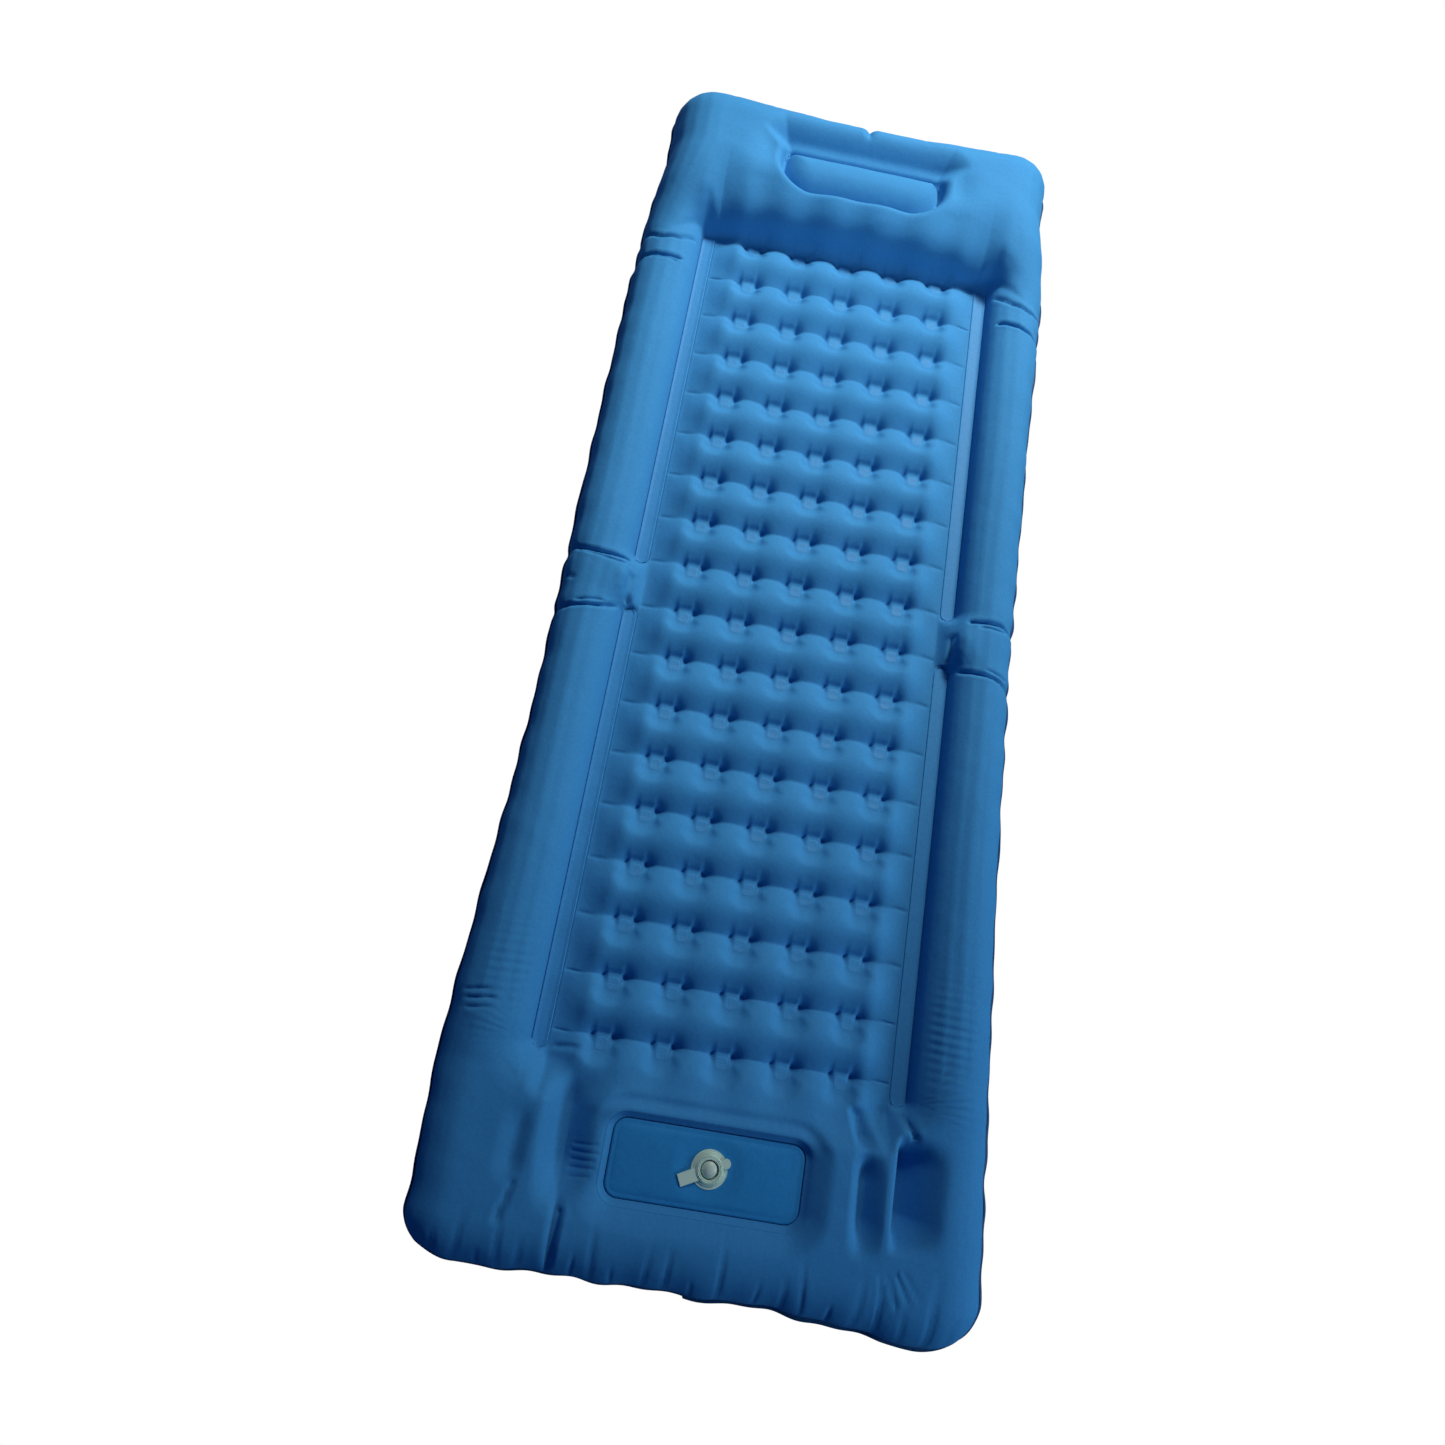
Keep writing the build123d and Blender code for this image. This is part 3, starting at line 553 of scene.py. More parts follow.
def top_rise(x, y, edge_x, edge_y):
    """Height of the top sheet above the seam. edge_x and edge_y are the distances in from the seam."""
    rail_half, over_rail, over_bar = rail_places(x, y)
    pillow = pillow_share(x, y)
    foot = foot_share(x, y)
    ends = smooth(0.0, 0.5, np.maximum(pillow, foot) - 0.12)
    field = field_rise(x, y)
    field = mix(dot_flat(x, y), field, dot_funnel(x, y))
    field = np.maximum(field - dot_pits(x, y) - row_creases(x, y), 0.0015)
    field = mix(field, field_rise(x, y), ends)
    rise = mix(field, RAIL_RISE, over_rail)
    rise = mix(rise, FOOT_RISE, foot)
    rise = mix(rise, PILLOW_RISE, pillow)
    wall = mix(0.0135, rail_half, over_bar)
    rise = mix(BAND_RISE, rise, faceted_arch(np.maximum(bar_distance(x, y), 0.0), wall))
    rise = mix(rise, pillow_tube(x, y, rise), smooth(0.0, 0.4, pillow))
    rise = rise * foot_folds(x, y)
    rise = around_panel(x, y, rise)
    wall_x = mix(rail_half, HEAD_WALL, pillow)
    wall_y = np.where(y > 0, HEAD_WALL, FOOT_WALL)
    edge = faceted_arch(edge_x, wall_x) * arch(edge_y, wall_y)
    loose = smooth(0.002, 0.012, panel_distance(x, y)) * smooth(0.1, 0.55, edge)
    loose = loose * smooth(0.004, 0.016, bar_distance(x, y) + 0.012 * smooth(0.03, 0.0, np.abs(y + 0.02)))
    rise = rise - loose * (creases(x, y) - cloth_drift(x, y) - bar_end_ripples(x, y) - rail_streaks(x, y))
    rise = rise - smooth(0.05, 0.4, edge) * edge_puckers(x, y)
    return rise * edge


def under_rise(x, y, edge_x, edge_y):
    """Depth of the bottom sheet below the seam, down to the ground."""
    rail_half, over_rail, over_bar = rail_places(x, y)
    ends = np.maximum(pillow_share(x, y), foot_share(x, y))
    field = mix(UNDER_WELD - DOT_FLOOR, field_rise(x, y) + UNDER_FIELD_EXTRA, dot_funnel(x, y))
    rise = mix(mix(field, UNDER_DROP, over_rail), UNDER_DROP, ends)
    wall = mix(0.027, rail_half, over_bar)
    rise = mix(0.002 - BAND_RISE, rise, arch(np.maximum(bar_distance(x, y), 0.0), wall))
    rise = rise - smooth(0.004, 0.016, bar_distance(x, y)) * (0.6 * creases(x, y) - cloth_drift(x, y))
    drain = np.hypot(x - DRAIN_MID.x, y - DRAIN_MID.y)
    rise = mix(rise, DRAIN_DROP, smooth(0.04, 0.026, drain))
    rise = rise * arch(edge_x, mix(rail_half, FOOT_WALL, ends)) * arch(edge_y, FOOT_WALL)
    return np.minimum(rise, SEAM_Z - GROUND_GAP)


def top_height(x, y):
    """The top sheet's level at any place well inside the outline."""
    return SEAM_Z + SKIN + top_rise(x, y, half_width(x, y) - np.abs(x), half_length(x, y) - np.abs(y))


def under_height(x, y):
    return SEAM_Z - SKIN - under_rise(x, y, half_width(x, y) - np.abs(x), half_length(x, y) - np.abs(y))


# ---------------- meshes
def grid_faces(rows, columns, keep=None):
    """Quads of a rows by columns grid of points, counter-clockwise seen from above."""
    corner = np.arange(rows * columns).reshape(rows, columns)
    quads = np.stack([corner[:-1, :-1], corner[:-1, 1:], corner[1:, 1:], corner[1:, :-1]], axis=-1)
    quads = quads.reshape(-1, 4)
    if keep is not None:
        quads = quads[keep[quads].all(axis=1)]
    return quads


def linked(name, data):
    """A scene object that holds a mesh, a light or a camera."""
    obj = bpy.data.objects.new(name, data)
    bpy.context.scene.collection.objects.link(obj)
    return obj


def set_material(mesh, material):
    mesh.materials.clear()
    mesh.materials.append(material)


def mesh_object(name, points, faces, material):
    """A smooth-shaded mesh object; points that no face uses are dropped."""
    used = np.unique(faces)
    place = np.full(len(points), -1)
    place[used] = np.arange(len(used))
    mesh = bpy.data.meshes.new(name)
    mesh.from_pydata(points[used].tolist(), [], place[faces].tolist())
    mesh.shade_smooth()
    set_material(mesh, material)
    return linked(name, mesh)


def patchwork(name, patches, faces, material):
    """One mesh of many patches that have the same faces."""
    faces = [faces + number * len(patches[0]) for number in range(len(patches))]
    return mesh_object(name, np.concatenate(patches), np.concatenate(faces), material)


def closed_faces(loops, count):
    """Quads between neighbouring closed loops of count points each."""
    point = np.arange(count)
    beyond = (point + 1) % count
    band = np.stack([point, beyond, beyond + count, point + count], axis=-1)
    return np.concatenate([band + loop * count for loop in range(loops - 1)])


def sleeve(name, loops, material):
    """A piece whose surface runs through closed loops of points in turn."""
    faces = closed_faces(len(loops), len(loops[0]))
    return mesh_object(name, np.concatenate(loops), faces, material)


SHEET_STEP = 0.004
TRIM = 0.0025             # the top sheet stops this far outside the pump panel, under the hem


def away_from(points, middle, radius):
    return np.hypot(points[:, 0] - middle.x, points[:, 1] - middle.y) > radius


def sheet_points(step, side, rise_of):
    """A sheet's grid of points, with its rows and columns. side is 1 above the seam and -1 below it."""
    x, y, edge_x, edge_y = outline_map(*np.meshgrid(grid_x(step), grid_y(step)))
    level = SEAM_Z + side * (SKIN + rise_of(x, y, edge_x, edge_y))
    return np.stack([x, y, level], axis=-1).reshape(-1, 3), x.shape


def top_sheet_piece(material):
    points, shape = sheet_points(SHEET_STEP, 1, top_rise)
    faces = grid_faces(*shape, panel_distance(points[:, 0], points[:, 1]) > TRIM)
    return mesh_object("top_sheet_skin", points, faces, material)


def bottom_sheet_piece(material):
    points, shape = sheet_points(1.5 * SHEET_STEP, -1, under_rise)
    faces = grid_faces(*shape, away_from(points, DRAIN_MID, DRAIN_HOLE_R))
    return mesh_object("bottom_sheet_skin", points, faces[:, ::-1], material)


def outline_loop(step):
    """The inflated outline, counter-clockwise, and its outward directions."""
    columns, rows = grid_x(step), grid_y(step)
    right = np.stack([np.full(len(rows), HALF_W), rows], axis=-1)
    top = np.stack([columns[::-1], np.full(len(columns), HALF_L)], axis=-1)[1:]
    left = np.stack([np.full(len(rows), -HALF_W), rows[::-1]], axis=-1)[1:]
    foot = np.stack([columns, np.full(len(columns), -HALF_L)], axis=-1)[1:-1]
    square = np.concatenate([right, top, left, foot])
    x, y, _, _ = outline_map(square[:, 0], square[:, 1])
    points = np.stack([x, y], axis=-1)
    along = np.roll(points, -1, axis=0) - np.roll(points, 1, axis=0)
    outward = np.stack([along[:, 1], -along[:, 0]], axis=-1)
    return points, outward / np.maximum(np.linalg.norm(outward, axis=1, keepdims=True), 1e-9)


def seam_piece(material):
    """The flat welded band outside the sheets, a little wavy as cut cloth is. Its dark colour is painted
    shade.
    """
    points, outward = outline_loop(SHEET_STEP)
    turn = np.cumsum(np.linalg.norm(points - np.roll(points, 1, axis=0), axis=1))
    wave = 0.0013 * np.sin(turn / 0.019) + 0.0009 * np.sin(turn / 0.0083 + 1.0)
    cut = 1.0 + 0.1 * np.sin(turn / 0.031) + 0.06 * np.sin(turn / 0.011)
    width = np.where(points[:, 0] < 0, 0.6, 1.0) * FLANGE * cut
    under = ((-0.35, 0.0, -1), (0.45, 0.5, -1), (1.0, 1.0, -1))     # share of width, of wave, and side
    over = [(share, lift, 1) for share, lift, _ in reversed(under)]
    loops = []
    for share, lift, side in (*under, *over):
        flat = points + outward * (width * share)[:, None]
        loops.append(np.column_stack([flat, SEAM_Z + side * SKIN + wave * lift]))
    return sleeve("seam_band", loops, material)


TAB_RINGS = np.array([0.4, 0.4, 0.4, 0.42, 0.6, 0.7, -1.2])      # lift of each ring, from the middle out
TAB_AROUND = 28


def tab_rings(radius):
    """A small patch about the origin, nearly square with round corners: points in rings from the middle."""
    angle = np.arange(TAB_AROUND) * 2.0 * math.pi / TAB_AROUND
    along, across = np.cos(angle), np.sin(angle)
    reach = radius / (along ** 4 + across ** 4) ** 0.25
    rim = np.column_stack([along, across]) * reach[:, None]
    return np.concatenate([rim * share for share in np.linspace(0.0, 1.0, len(TAB_RINGS))])


def dot_patches(name, height_of, lift, material):
    """Every weld dot: a flat pressed tab with a faint rim. A negative lift faces down."""
    tab = tab_rings(TAB_HALF - 0.0004)
    faces = closed_faces(len(TAB_RINGS), TAB_AROUND)
    lifts = np.repeat(TAB_RINGS, TAB_AROUND) * lift
    patches = []
    for y in np.linspace(-LAST_ROW_Y, LAST_ROW_Y, DOT_ROWS):
        for x in np.linspace(-LAST_COLUMN_X, LAST_COLUMN_X, DOT_COLUMNS):
            flat = tab + (x, y)
            patches.append(np.column_stack([flat, height_of(flat[:, 0], flat[:, 1]) + lifts]))
    return patchwork(name, patches, faces[:, ::-1] if lift > 0 else faces, material)


# across a weld tape: share of its half width, share of its lift; a low rim stands along each edge
TAPE_PROFILE = (
    (-1.0, -0.6), (-0.97, 0.9), (-0.86, 1.0), (-0.72, 0.45), (-0.4, 0.35), (0.0, 0.3),
    (0.4, 0.35), (0.72, 0.45), (0.86, 1.0), (0.97, 0.9), (1.0, -0.6),
)


def ribbon(path, half, height_of, lift):
    """A strip along a path in plan, laid on a sheet, with round ends."""
    along = np.gradient(path, axis=0)
    along = along / np.linalg.norm(along, axis=1, keepdims=True)
    across = np.stack([along[:, 1], -along[:, 0]], axis=-1)
    run = np.concatenate([[0.0], np.cumsum(np.linalg.norm(np.diff(path, axis=0), axis=1))])
    narrow = np.maximum(arch(np.minimum(run, run[-1] - run), BAR_WIDTH / 2), 0.02)
    columns = []
    for share, high in TAPE_PROFILE:
        flat = path + across * (share * half * narrow)[:, None]
        columns.append(np.column_stack([flat, height_of(flat[:, 0], flat[:, 1]) + lift * high]))
    return np.stack(columns, axis=1)


def bar_tapes(name, height_of, lift, material):
    """The four side weld bars, as tapes on a sheet. A negative lift faces down."""
    tapes = []
    for x in (-BAR_MID, BAR_MID):
        for side in (-1, 1):
            ys = np.sort(np.linspace(BAR_GAP + 0.0005, BAR_END, 170) * side)
            path = np.column_stack([np.full(len(ys), x), ys])
            tapes.append(ribbon(path, BAR_WIDTH / 2 - 0.0006, height_of, lift))
    faces = grid_faces(*tapes[0].shape[:2])
    tapes = [tape.reshape(-1, 3) for tape in tapes]
    return patchwork(name, tapes, faces if lift > 0 else faces[:, ::-1], material)


# ---------------- pump pieces
def box_loop(half_x, half_y, corner):
    """Points round a rounded rectangle about the origin, counter-clockwise, and their outward directions."""
    middles = np.array(((1, 1), (-1, 1), (-1, -1), (1, -1))) * (half_x - corner, half_y - corner)
    bases, angles = [], []
    for quarter, middle in enumerate(middles):
        angle = math.pi / 2 * np.linspace(quarter, quarter + 1, 11)
        beyond = middles[(quarter + 1) % 4]
        steps = round(np.linalg.norm(beyond - middle) / 0.003)
        share = np.arange(1, steps)[:, None] / steps
        bases += [np.tile(middle, (len(angle), 1)), mix(middle, beyond, share)]
        angles += [angle, np.full(steps - 1, angle[-1])]
    angles = np.concatenate(angles)
    outward = np.column_stack([np.cos(angles), np.sin(angles)])
    return np.concatenate(bases) + corner * outward, outward


RIM, RIM_OUTWARD = box_loop(PANEL_HALF_X, PANEL_HALF_Y, PANEL_CORNER)
SPINE_HALF = PANEL_HALF_X - PANEL_HALF_Y


def placed_loop(flat, height):
    """A loop moved to the panel's place in plan; its height is a value or a function of x and y."""
    flat = flat + np.array([PANEL_MID.x, PANEL_MID.y])
    level = height(flat[:, 0], flat[:, 1]) if callable(height) else np.full(len(flat), height)
    return np.column_stack([flat, level])


def panel_loops(levels):
    """Closed loops round the panel's outline: each level gives an offset outwards and a height."""
    return [placed_loop(RIM + RIM_OUTWARD * offset, height) for offset, height in levels]


def inner_loops(offset, shares, height):
    """Loops that close in from an offset outline onto the panel's long middle line."""
    rim = RIM + RIM_OUTWARD * offset
    spine = np.column_stack([np.clip(rim[:, 0], -SPINE_HALF, SPINE_HALF), np.zeros(len(rim))])
    return [placed_loop(mix(rim, spine, share), height) for share in shares]


def hem_piece(material):
    """Edge of the pump opening, rolled down into the well."""
    def lifted(x, y):
        return top_height(x, y) + 0.0003
    levels = [(offset, lifted) for offset in (0.0085, 0.007, 0.0055, 0.004, 0.0028, 0.0018, 0.0009)]
    edge = PANEL_HIGH.z - 0.004
    levels += [(0.0005, edge), (0.0005, edge - 0.004), (0.001, edge - 0.009)]
    return sleeve("pump_opening_hem", panel_loops(levels), material)


def panel_top(x, y):
    """Foam-backed panel: a low dome that stays flat round the valve, with a faint line along its rim."""
    inside = -panel_distance(x, y)
    valve = np.hypot(x - VALVE_MID.x, y - VALVE_MID.y)
    over_x = (x - PANEL_MID.x) / PANEL_HALF_X
    over_y = (y - PANEL_MID.y) / PANEL_HALF_Y
    dome = 0.0024 * (1.0 - over_x ** 4) * (1.0 - over_y ** 4)
    dome = dome * smooth(0.002, 0.012, inside) * smooth(0.024, 0.05, valve)
    rim = 0.00015 * bump(inside - 0.0062, 0.0013)
    return PANEL_HIGH.z + dome - rim


def panel_piece(material):
    """The foam-backed press panel, open where the intake valve stands in it."""
    low, high = PANEL_LOW.z, PANEL_HIGH.z
    levels = [(-0.02, low), (-0.001, low), (0.0, low + 0.0008)]
    levels += [(0.0, high - 0.0026), (-0.0003, high - 0.0014)]
    levels += [(-0.001, high - 0.0005), (-0.0021, high - 0.0001)]
    insets = (0.0032, 0.0044, 0.0052, 0.0062, 0.0072, 0.0085, 0.011, 0.014)
    levels += [(-inset, panel_top) for inset in insets]
    loops = panel_loops(levels) + inner_loops(-insets[-1], np.linspace(0.08, 1.0, 13), panel_top)
    points = np.concatenate(loops)
    faces = closed_faces(len(loops), len(RIM))
    clear = away_from(points, VALVE_MID, PANEL_HOLE_R)
    faces = faces[clear[faces].all(axis=1) | (faces.min(axis=1) < 2 * len(RIM))]
    return mesh_object("pump_panel_pad", points, faces, material)


def foam_piece(material):
    """Open-cell block that fills the well, slightly barrelled."""
    low, high = FOAM_LOW.z, FOAM_HIGH.z
    levels = [(-0.017, low), (-0.004, low), (-0.0014, low + 0.001)]
    for share in np.linspace(0.05, 0.95, 12):
        levels.append((-0.0012 + 0.0008 * math.sin(math.pi * share), mix(low, high, share)))
    levels += [(-0.0014, high - 0.0004), (-0.003, high)]
    loops = panel_loops(levels) + inner_loops(-0.003, np.linspace(0.1, 1.0, 10), high)
    points = np.concatenate(loops)
    faces = closed_faces(len(loops), len(RIM))
    clear = away_from(points, VALVE_MID, FOAM_HOLE_R)
    high_faces = points[faces][:, :, 2].min(axis=1) > high - 0.001
    faces = faces[clear[faces].all(axis=1) | ~high_faces]
    return mesh_object("pump_foam_block", points, faces, material)


LINER_FOLDS = 5


def liner_piece(material):
    """Soft well round the foam, with low folds in its wall."""
    high = LINER_HIGH.z
    floor_level = LINER_LOW.z + 0.0008
    wall_low = LINER_LOW.z + 0.002
    levels = [(0.0008, high)]
    for share in np.linspace(0.0, 1.0, 41):
        fold = 0.0007 * math.cos(2 * math.pi * LINER_FOLDS * share)
        levels.append((0.0011 + fold, mix(high - 0.001, wall_low, share)))
    levels += [(-0.001, floor_level + 0.0002), (-0.014, floor_level)]
    loops = panel_loops(levels) + inner_loops(-0.014, (0.3, 0.6, 1.0), floor_level)
    return sleeve("pump_liner_well", loops, material)


CAP_RIBS = ((0.013, 0.003), (0.0149, 0.003), (0.0164, 0.0022))   # radius, level above the cap's underside
RIB_R = 0.0005
RIB_AROUND = 72
RIB_SIDES = 8


def cap_ribs_piece(material):
    """Round ridges moulded on the valve cap: rings with a round section."""
    angle = 2.0 * math.pi * np.arange(RIB_AROUND) / RIB_AROUND
    rings = []
    for radius, level in CAP_RIBS:
        sides = []
        for tilt in 2.0 * math.pi * np.arange(RIB_SIDES) / RIB_SIDES:
            reach = radius + RIB_R * math.cos(tilt)
            height = np.full(RIB_AROUND, CAP_LOW_Z + level + RIB_R * math.sin(tilt))
            x, y = VALVE_MID.x + reach * np.cos(angle), VALVE_MID.y + reach * np.sin(angle)
            sides.append(np.column_stack([x, y, height]))
        rings.append(np.concatenate(sides))
    faces = closed_faces(RIB_SIDES + 1, RIB_AROUND) % (RIB_SIDES * RIB_AROUND)
    return patchwork("cap_ribs", rings, faces, material)


def spring_piece(material):
    """The valve's spring as designed, in a copy that stands on the cap."""
    node = frame["nodes"]["button_spring"]
    mesh = node.data.copy()
    mesh.transform(node.matrix_world)
    set_material(mesh, material)
    return linked("button_spring_coil", mesh)


# ---------------- materials
def node_material(name):
    """A new material, its node tree, and the object's own coordinates for its textures."""
    material = bpy.data.materials.new(name)
    material.use_nodes = True
    place = add_node(material.node_tree, "ShaderNodeTexCoord").outputs["Object"]
    return material, material.node_tree, place


def set_inputs(tree, node, values):
    """Sets inputs by name, with _ for a space. A socket is linked, and anything else is a value."""
    for name, value in values.items():
        socket = node.inputs[name.replace("_", " ")]
        if isinstance(value, bpy.types.NodeSocket):
            tree.links.new(value, socket)
        else:
            socket.default_value = value


def add_node(tree, kind, *sources, settings=None, **values):
    """A shader node. The sources are linked to its first inputs, in order."""
    node = tree.nodes.new(kind)
    for key, value in (settings or {}).items():
        setattr(node, key, value)
    for number, source in enumerate(sources):
        tree.links.new(source, node.inputs[number])
    set_inputs(tree, node, values)
    return node


def set_surface(tree, **values):
    set_inputs(tree, tree.nodes["Principled BSDF"], values)


def noise(tree, place, scale, detail, roughness):
    node = add_node(tree, "ShaderNodeTexNoise", place, Scale=scale, Detail=detail, Roughness=roughness)
    return node.outputs["Fac"]


def stretched(tree, value, spread, low=0.0, high=1.0):
    """Maps a noise, from spread below a half to spread above it, onto low to high."""
    limits = {"From_Min": 0.5 - spread, "From_Max": 0.5 + spread, "To_Min": low, "To_Max": high}
    return add_node(tree, "ShaderNodeMapRange", value, **limits).outputs["Result"]


def bumped(tree, height, strength, distance, **values):
    node = add_node(tree, "ShaderNodeBump", Strength=strength, Distance=distance, Height=height, **values)
    return node.outputs["Normal"]


def drifting_colour(tree, place, colour, deep_colour, scale):
    """Base colour that drifts slowly between two tones."""
    drift = stretched(tree, noise(tree, place, scale, 4.0, 0.6), 0.2)
    tones = {"A": (*deep_colour, 1.0), "B": (*colour, 1.0)}
    blend = add_node(tree, "ShaderNodeMix", settings={"data_type": "RGBA"}, Factor=drift, **tones)
    return blend.outputs["Result"]


def mottled(tree, place, colour, scale, amount):
    """Multiplies a colour by a fine grain."""
    grain = stretched(tree, noise(tree, place, scale, 3.0, 0.7), 0.25, 1.0 - amount, 1.0 + amount)
    product = add_node(tree, "ShaderNodeVectorMath", colour, settings={"operation": "SCALE"}, Scale=grain)
    return product.outputs["Vector"]


WAVE_PERIOD = math.pi / 10     # of the wave texture at scale 1


def thread_waves(tree, place, weave):
    """Height of a plain weave of threads weave apart: two crossing waves."""
    threads = []
    for direction in ("X", "Y"):
        look = {"wave_type": "BANDS", "bands_direction": direction, "wave_profile": "SIN"}
        wave = add_node(tree, "ShaderNodeTexWave", place, settings=look, Scale=WAVE_PERIOD / (2.0 * weave))
        threads.append(wave.outputs["Fac"])
    return add_node(tree, "ShaderNodeMath", *threads, settings={"operation": "MULTIPLY"}).outputs["Value"]


def fabric_material(name, colour, deep_colour, roughness=0.8, weave=0.0011, strength=0.1):
    """Coated nylon: a fine plain weave over soft unevenness, nearly matt, with a slow drift of colour."""
    material, tree, place = node_material(name)
    base = mottled(tree, place, drifting_colour(tree, place, colour, deep_colour, 5.0), 260.0, 0.09)
    crinkle = noise(tree, place, 55.0, 5.0, 0.55)
    soft = bumped(tree, crinkle, 0.4, 0.0015)
    fine = bumped(tree, thread_waves(tree, place, weave), strength, 0.0004, Normal=soft)
    set_surface(tree, Base_Color=base, Normal=fine, Roughness=roughness, Specular_IOR_Level=0.12)
    return material


def grained_material(name, colour, deep_colour, roughness, scale, strength, distance, metallic=0.0):
    """Moulded or cut surface with a fine grain."""
    material, tree, place = node_material(name)
    base = drifting_colour(tree, place, colour, deep_colour, 40.0)
    rough = bumped(tree, noise(tree, place, scale, 6.0, 0.65), strength, distance)
    set_surface(tree, Base_Color=base, Normal=rough, Roughness=roughness, Metallic=metallic)
    return material


def plastic(name, colour, deep_colour, roughness):
    return grained_material(name, colour, deep_colour, roughness, 1400.0, 0.15, 0.0001)


TOP_FABRIC = fabric_material("top_fabric_nylon", (0.042, 0.254, 0.575), (0.036, 0.236, 0.54))
BOTTOM_FABRIC = fabric_material("bottom_fabric_nylon", (0.02, 0.11, 0.29), (0.015, 0.09, 0.25))
WELD_FABRIC = fabric_material(
    "welded_fabric", (0.046, 0.268, 0.6), (0.042, 0.254, 0.58), roughness=0.55, weave=0.0016, strength=0.25
)
# painted shade: the seam band is a dark navy, far darker than either sheet it is welded from, to stand in
# for the shade along the pad's outline
SEAM_FABRIC_PAINTED_SHADE = fabric_material("seam_fabric_painted_shade", (0.01, 0.07, 0.19), (0.008, 0.056, 0.16), roughness=0.5)
PANEL_FABRIC = fabric_material(
    "panel_fabric", (0.024, 0.246, 0.585), (0.021, 0.232, 0.56), roughness=0.6, weave=0.0014, strength=0.18
)
VALVE_PLASTIC = plastic("valve_plastic", (0.62, 0.84, 0.72), (0.57, 0.79, 0.67), 0.36)
VALVE_INNER = plastic("valve_inner_plastic", (0.56, 0.72, 0.64), (0.5, 0.66, 0.58), 0.4)
LINER_FILM = grained_material("liner_film", (0.13, 0.17, 0.23), (0.1, 0.14, 0.2), 0.38, 160.0, 0.3, 0.0006)
FOAM = grained_material("open_cell_foam", (0.8, 0.74, 0.58), (0.66, 0.6, 0.46), 0.9, 900.0, 1.0, 0.0012)
RUBBER = grained_material(
    "seal_rubber", (0.012, 0.012, 0.013), (0.008, 0.008, 0.009), 0.6, 1200.0, 0.3, 0.0001
)
WIRE = grained_material(
    "spring_wire", (0.6, 0.61, 0.62), (0.5, 0.51, 0.52), 0.28, 1500.0, 0.1, 0.00005, metallic=1.0
)


# ---------------- build
def place_piece(piece, body, slot, *nodes):
    """Puts a piece on its body. nodes are the CAD nodes that it is shown in place of."""
    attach(piece, body)
    if nodes:
        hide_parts(*nodes)
    return piece


def squash_down(piece):
    """Gives a piece its own copy of its mesh."""
    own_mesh(piece)


PIECES = (
    (top_sheet_piece(TOP_FABRIC), "mattress", "top_fabric", "top_sheet"),
    (bottom_sheet_piece(BOTTOM_FABRIC), "mattress", "bottom_fabric", "bottom_sheet"),
    (seam_piece(SEAM_FABRIC_PAINTED_SHADE), "mattress", "welded_fabric", "perimeter_seam"),
    (dot_patches("weld_dot_patches", top_height, 0.0004, WELD_FABRIC),
     "mattress", "welded_fabric", "weld_dots"),
    (dot_patches("weld_dot_patches_under", under_height, -0.0006, BOTTOM_FABRIC),
     "mattress", "welded_fabric"),
    (bar_tapes("side_weld_tapes", top_height, 0.0015, WELD_FABRIC),
     "mattress", "welded_fabric", "side_weld_bars"),
    (bar_tapes("side_weld_tapes_under", under_height, -0.0011, BOTTOM_FABRIC),
     "mattress", "welded_fabric"),
    (hem_piece(TOP_FABRIC), "mattress", "top_fabric"),
    (liner_piece(LINER_FILM), "mattress", "liner_film", "pump_liner"),
    (panel_piece(PANEL_FABRIC), "press_panel", "panel_fabric", "pump_panel"),
    (cap_ribs_piece(VALVE_PLASTIC), "valve_cap", "valve_plastic"),
)
for entry in PIECES:
    place_piece(*entry)
spring = place_piece(spring_piece(WIRE), "valve_cap", "spring_wire", "button_spring")
squash_down(spring)
foam = place_piece(foam_piece(FOAM), "mattress", "foam", "pump_foam")
squash_down(foam)

# the CAD solids that are shown as they are
SHOWN_AS_DESIGNED = (
    (WELD_FABRIC, ("foot_weld_lines", "pillow_weld_line")),
    (VALVE_PLASTIC, ("intake_base", "intake_cap", "dump_base", "dump_plug")),
    (VALVE_INNER, ("transfer_seat", "flap_retainer", "intake_button", "stem_clip")),
    (RUBBER, ("transfer_flap", "seal_disc", "dump_seal")),
)
for finish, nodes in SHOWN_AS_DESIGNED:
    for node in nodes:
        set_material(frame["nodes"][node].data, finish)


# ---------------- stage
WHITE = (1.0, 1.0, 1.0, 1.0)


def white_to_camera(tree, output, dim, white):
    """Shows the white shader to the camera and the dim one to every other ray."""
    seen = add_node(tree, "ShaderNodeLightPath").outputs["Is Camera Ray"]
    blend = add_node(tree, "ShaderNodeMixShader", seen, dim.outputs[0], white.outputs[0])
    tree.links.new(blend.outputs["Shader"], tree.nodes[output].inputs["Surface"])


def floor():
    """White paper that shows no shadow to the camera, as in a cut-out picture."""
    size, level = 6.0, -0.001
    mesh = bpy.data.meshes.new("floor")
    corners = [(-size, -size, level), (size, -size, level), (size, size, level), (-size, size, level)]
    mesh.from_pydata(corners, [], [(0, 1, 2, 3)])
    material, tree, _ = node_material("floor_paper")
    dull = add_node(tree, "ShaderNodeBsdfDiffuse", Color=(0.12, 0.2, 0.32, 1.0))
    white_to_camera(tree, "Material Output", dull, add_node(tree, "ShaderNodeEmission", Color=WHITE))
    set_material(mesh, material)
    linked("floor", mesh)


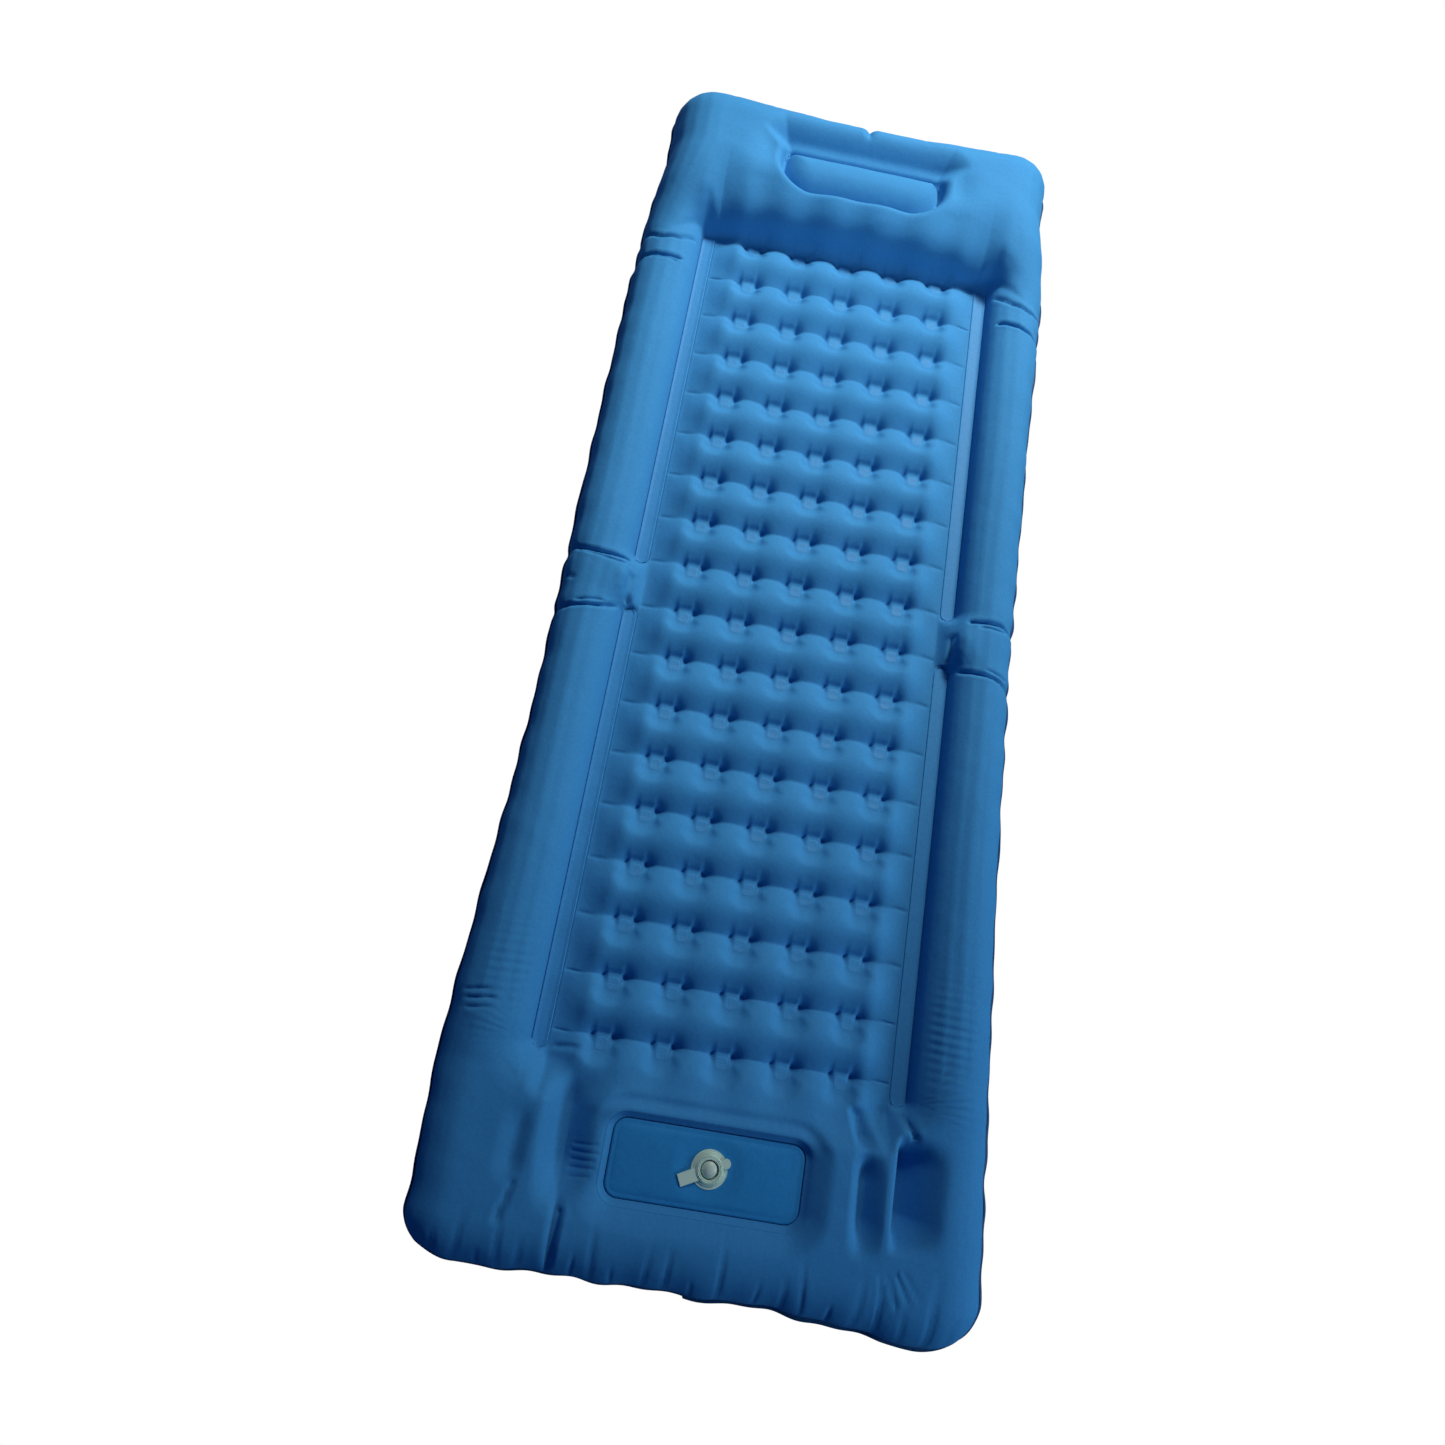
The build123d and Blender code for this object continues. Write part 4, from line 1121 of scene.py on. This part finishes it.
def world():
    """White to the camera, a faint blue fill to everything else."""
    studio = bpy.data.worlds.new("studio")
    bpy.context.scene.world = studio
    studio.use_nodes = True
    tree = studio.node_tree
    fill = add_node(tree, "ShaderNodeBackground", Color=(0.1, 0.4, 1.0, 1.0), Strength=0.115)
    white_to_camera(tree, "World Output", fill, add_node(tree, "ShaderNodeBackground", Color=WHITE))


def light(name, kind, place, target, power, colour, **shape):
    data = bpy.data.lights.new(name, kind)
    data.energy = power
    data.color = colour
    for key, value in shape.items():
        setattr(data, key, value)
    obj = linked(name, data)
    obj.location = place
    obj.rotation_euler = (Vector(target) - Vector(place)).to_track_quat("-Z", "Y").to_euler()


def lights():
    """A warm key from beyond the head end, and three weak lights for the shadows."""
    key_cone = {"spot_size": math.radians(48.0), "spot_blend": 1.0, "shadow_soft_size": 0.3}
    fill_cone = {"spot_size": math.radians(24.0), "spot_blend": 1.0, "shadow_soft_size": 0.25}
    light("key", "SPOT", (1.2, 2.45, 2.45), (0.0, 0.75, 0.0), 590.0, (1.0, 0.88, 0.76), **key_cone)
    light("pillow_fill", "SPOT", (0.0, -0.45, 1.15), (0.02, 0.74, 0.1), 22.0, (0.86, 0.95, 1.0), **fill_cone)
    light("head_side", "AREA", (0.3, 1.75, 1.35), (0.0, 0.85, 0.12), 7.5, (1.0, 0.93, 0.82), size=0.5)
    light("foot_side", "AREA", (1.65, -0.95, 0.75), (0.25, -0.8, 0.0), 11.0, (0.8, 0.93, 1.0), size=0.5)


CAMERA_PLACE = Vector((-0.125, -0.535, 1.295))
CAMERA_RIGHT = Vector((0.9827, 0.1643, 0.086))
CAMERA_UP = Vector((-0.1814, 0.9483, 0.2605))
CAMERA_LENS = 21.56       # for a sensor 36 mm wide


def camera():
    data = bpy.data.cameras.new("camera")
    data.sensor_width = 36.0
    data.lens = CAMERA_LENS
    right = CAMERA_RIGHT.normalized()
    back = right.cross(CAMERA_UP).normalized()
    turn = Matrix((right, back.cross(right), back)).transposed()
    obj = linked("camera", data)
    obj.matrix_world = Matrix.Translation(CAMERA_PLACE) @ turn.to_4x4()
    bpy.context.scene.camera = obj


floor()
lights()
camera()
world()
bpy.context.scene.view_settings.view_transform = "Standard"
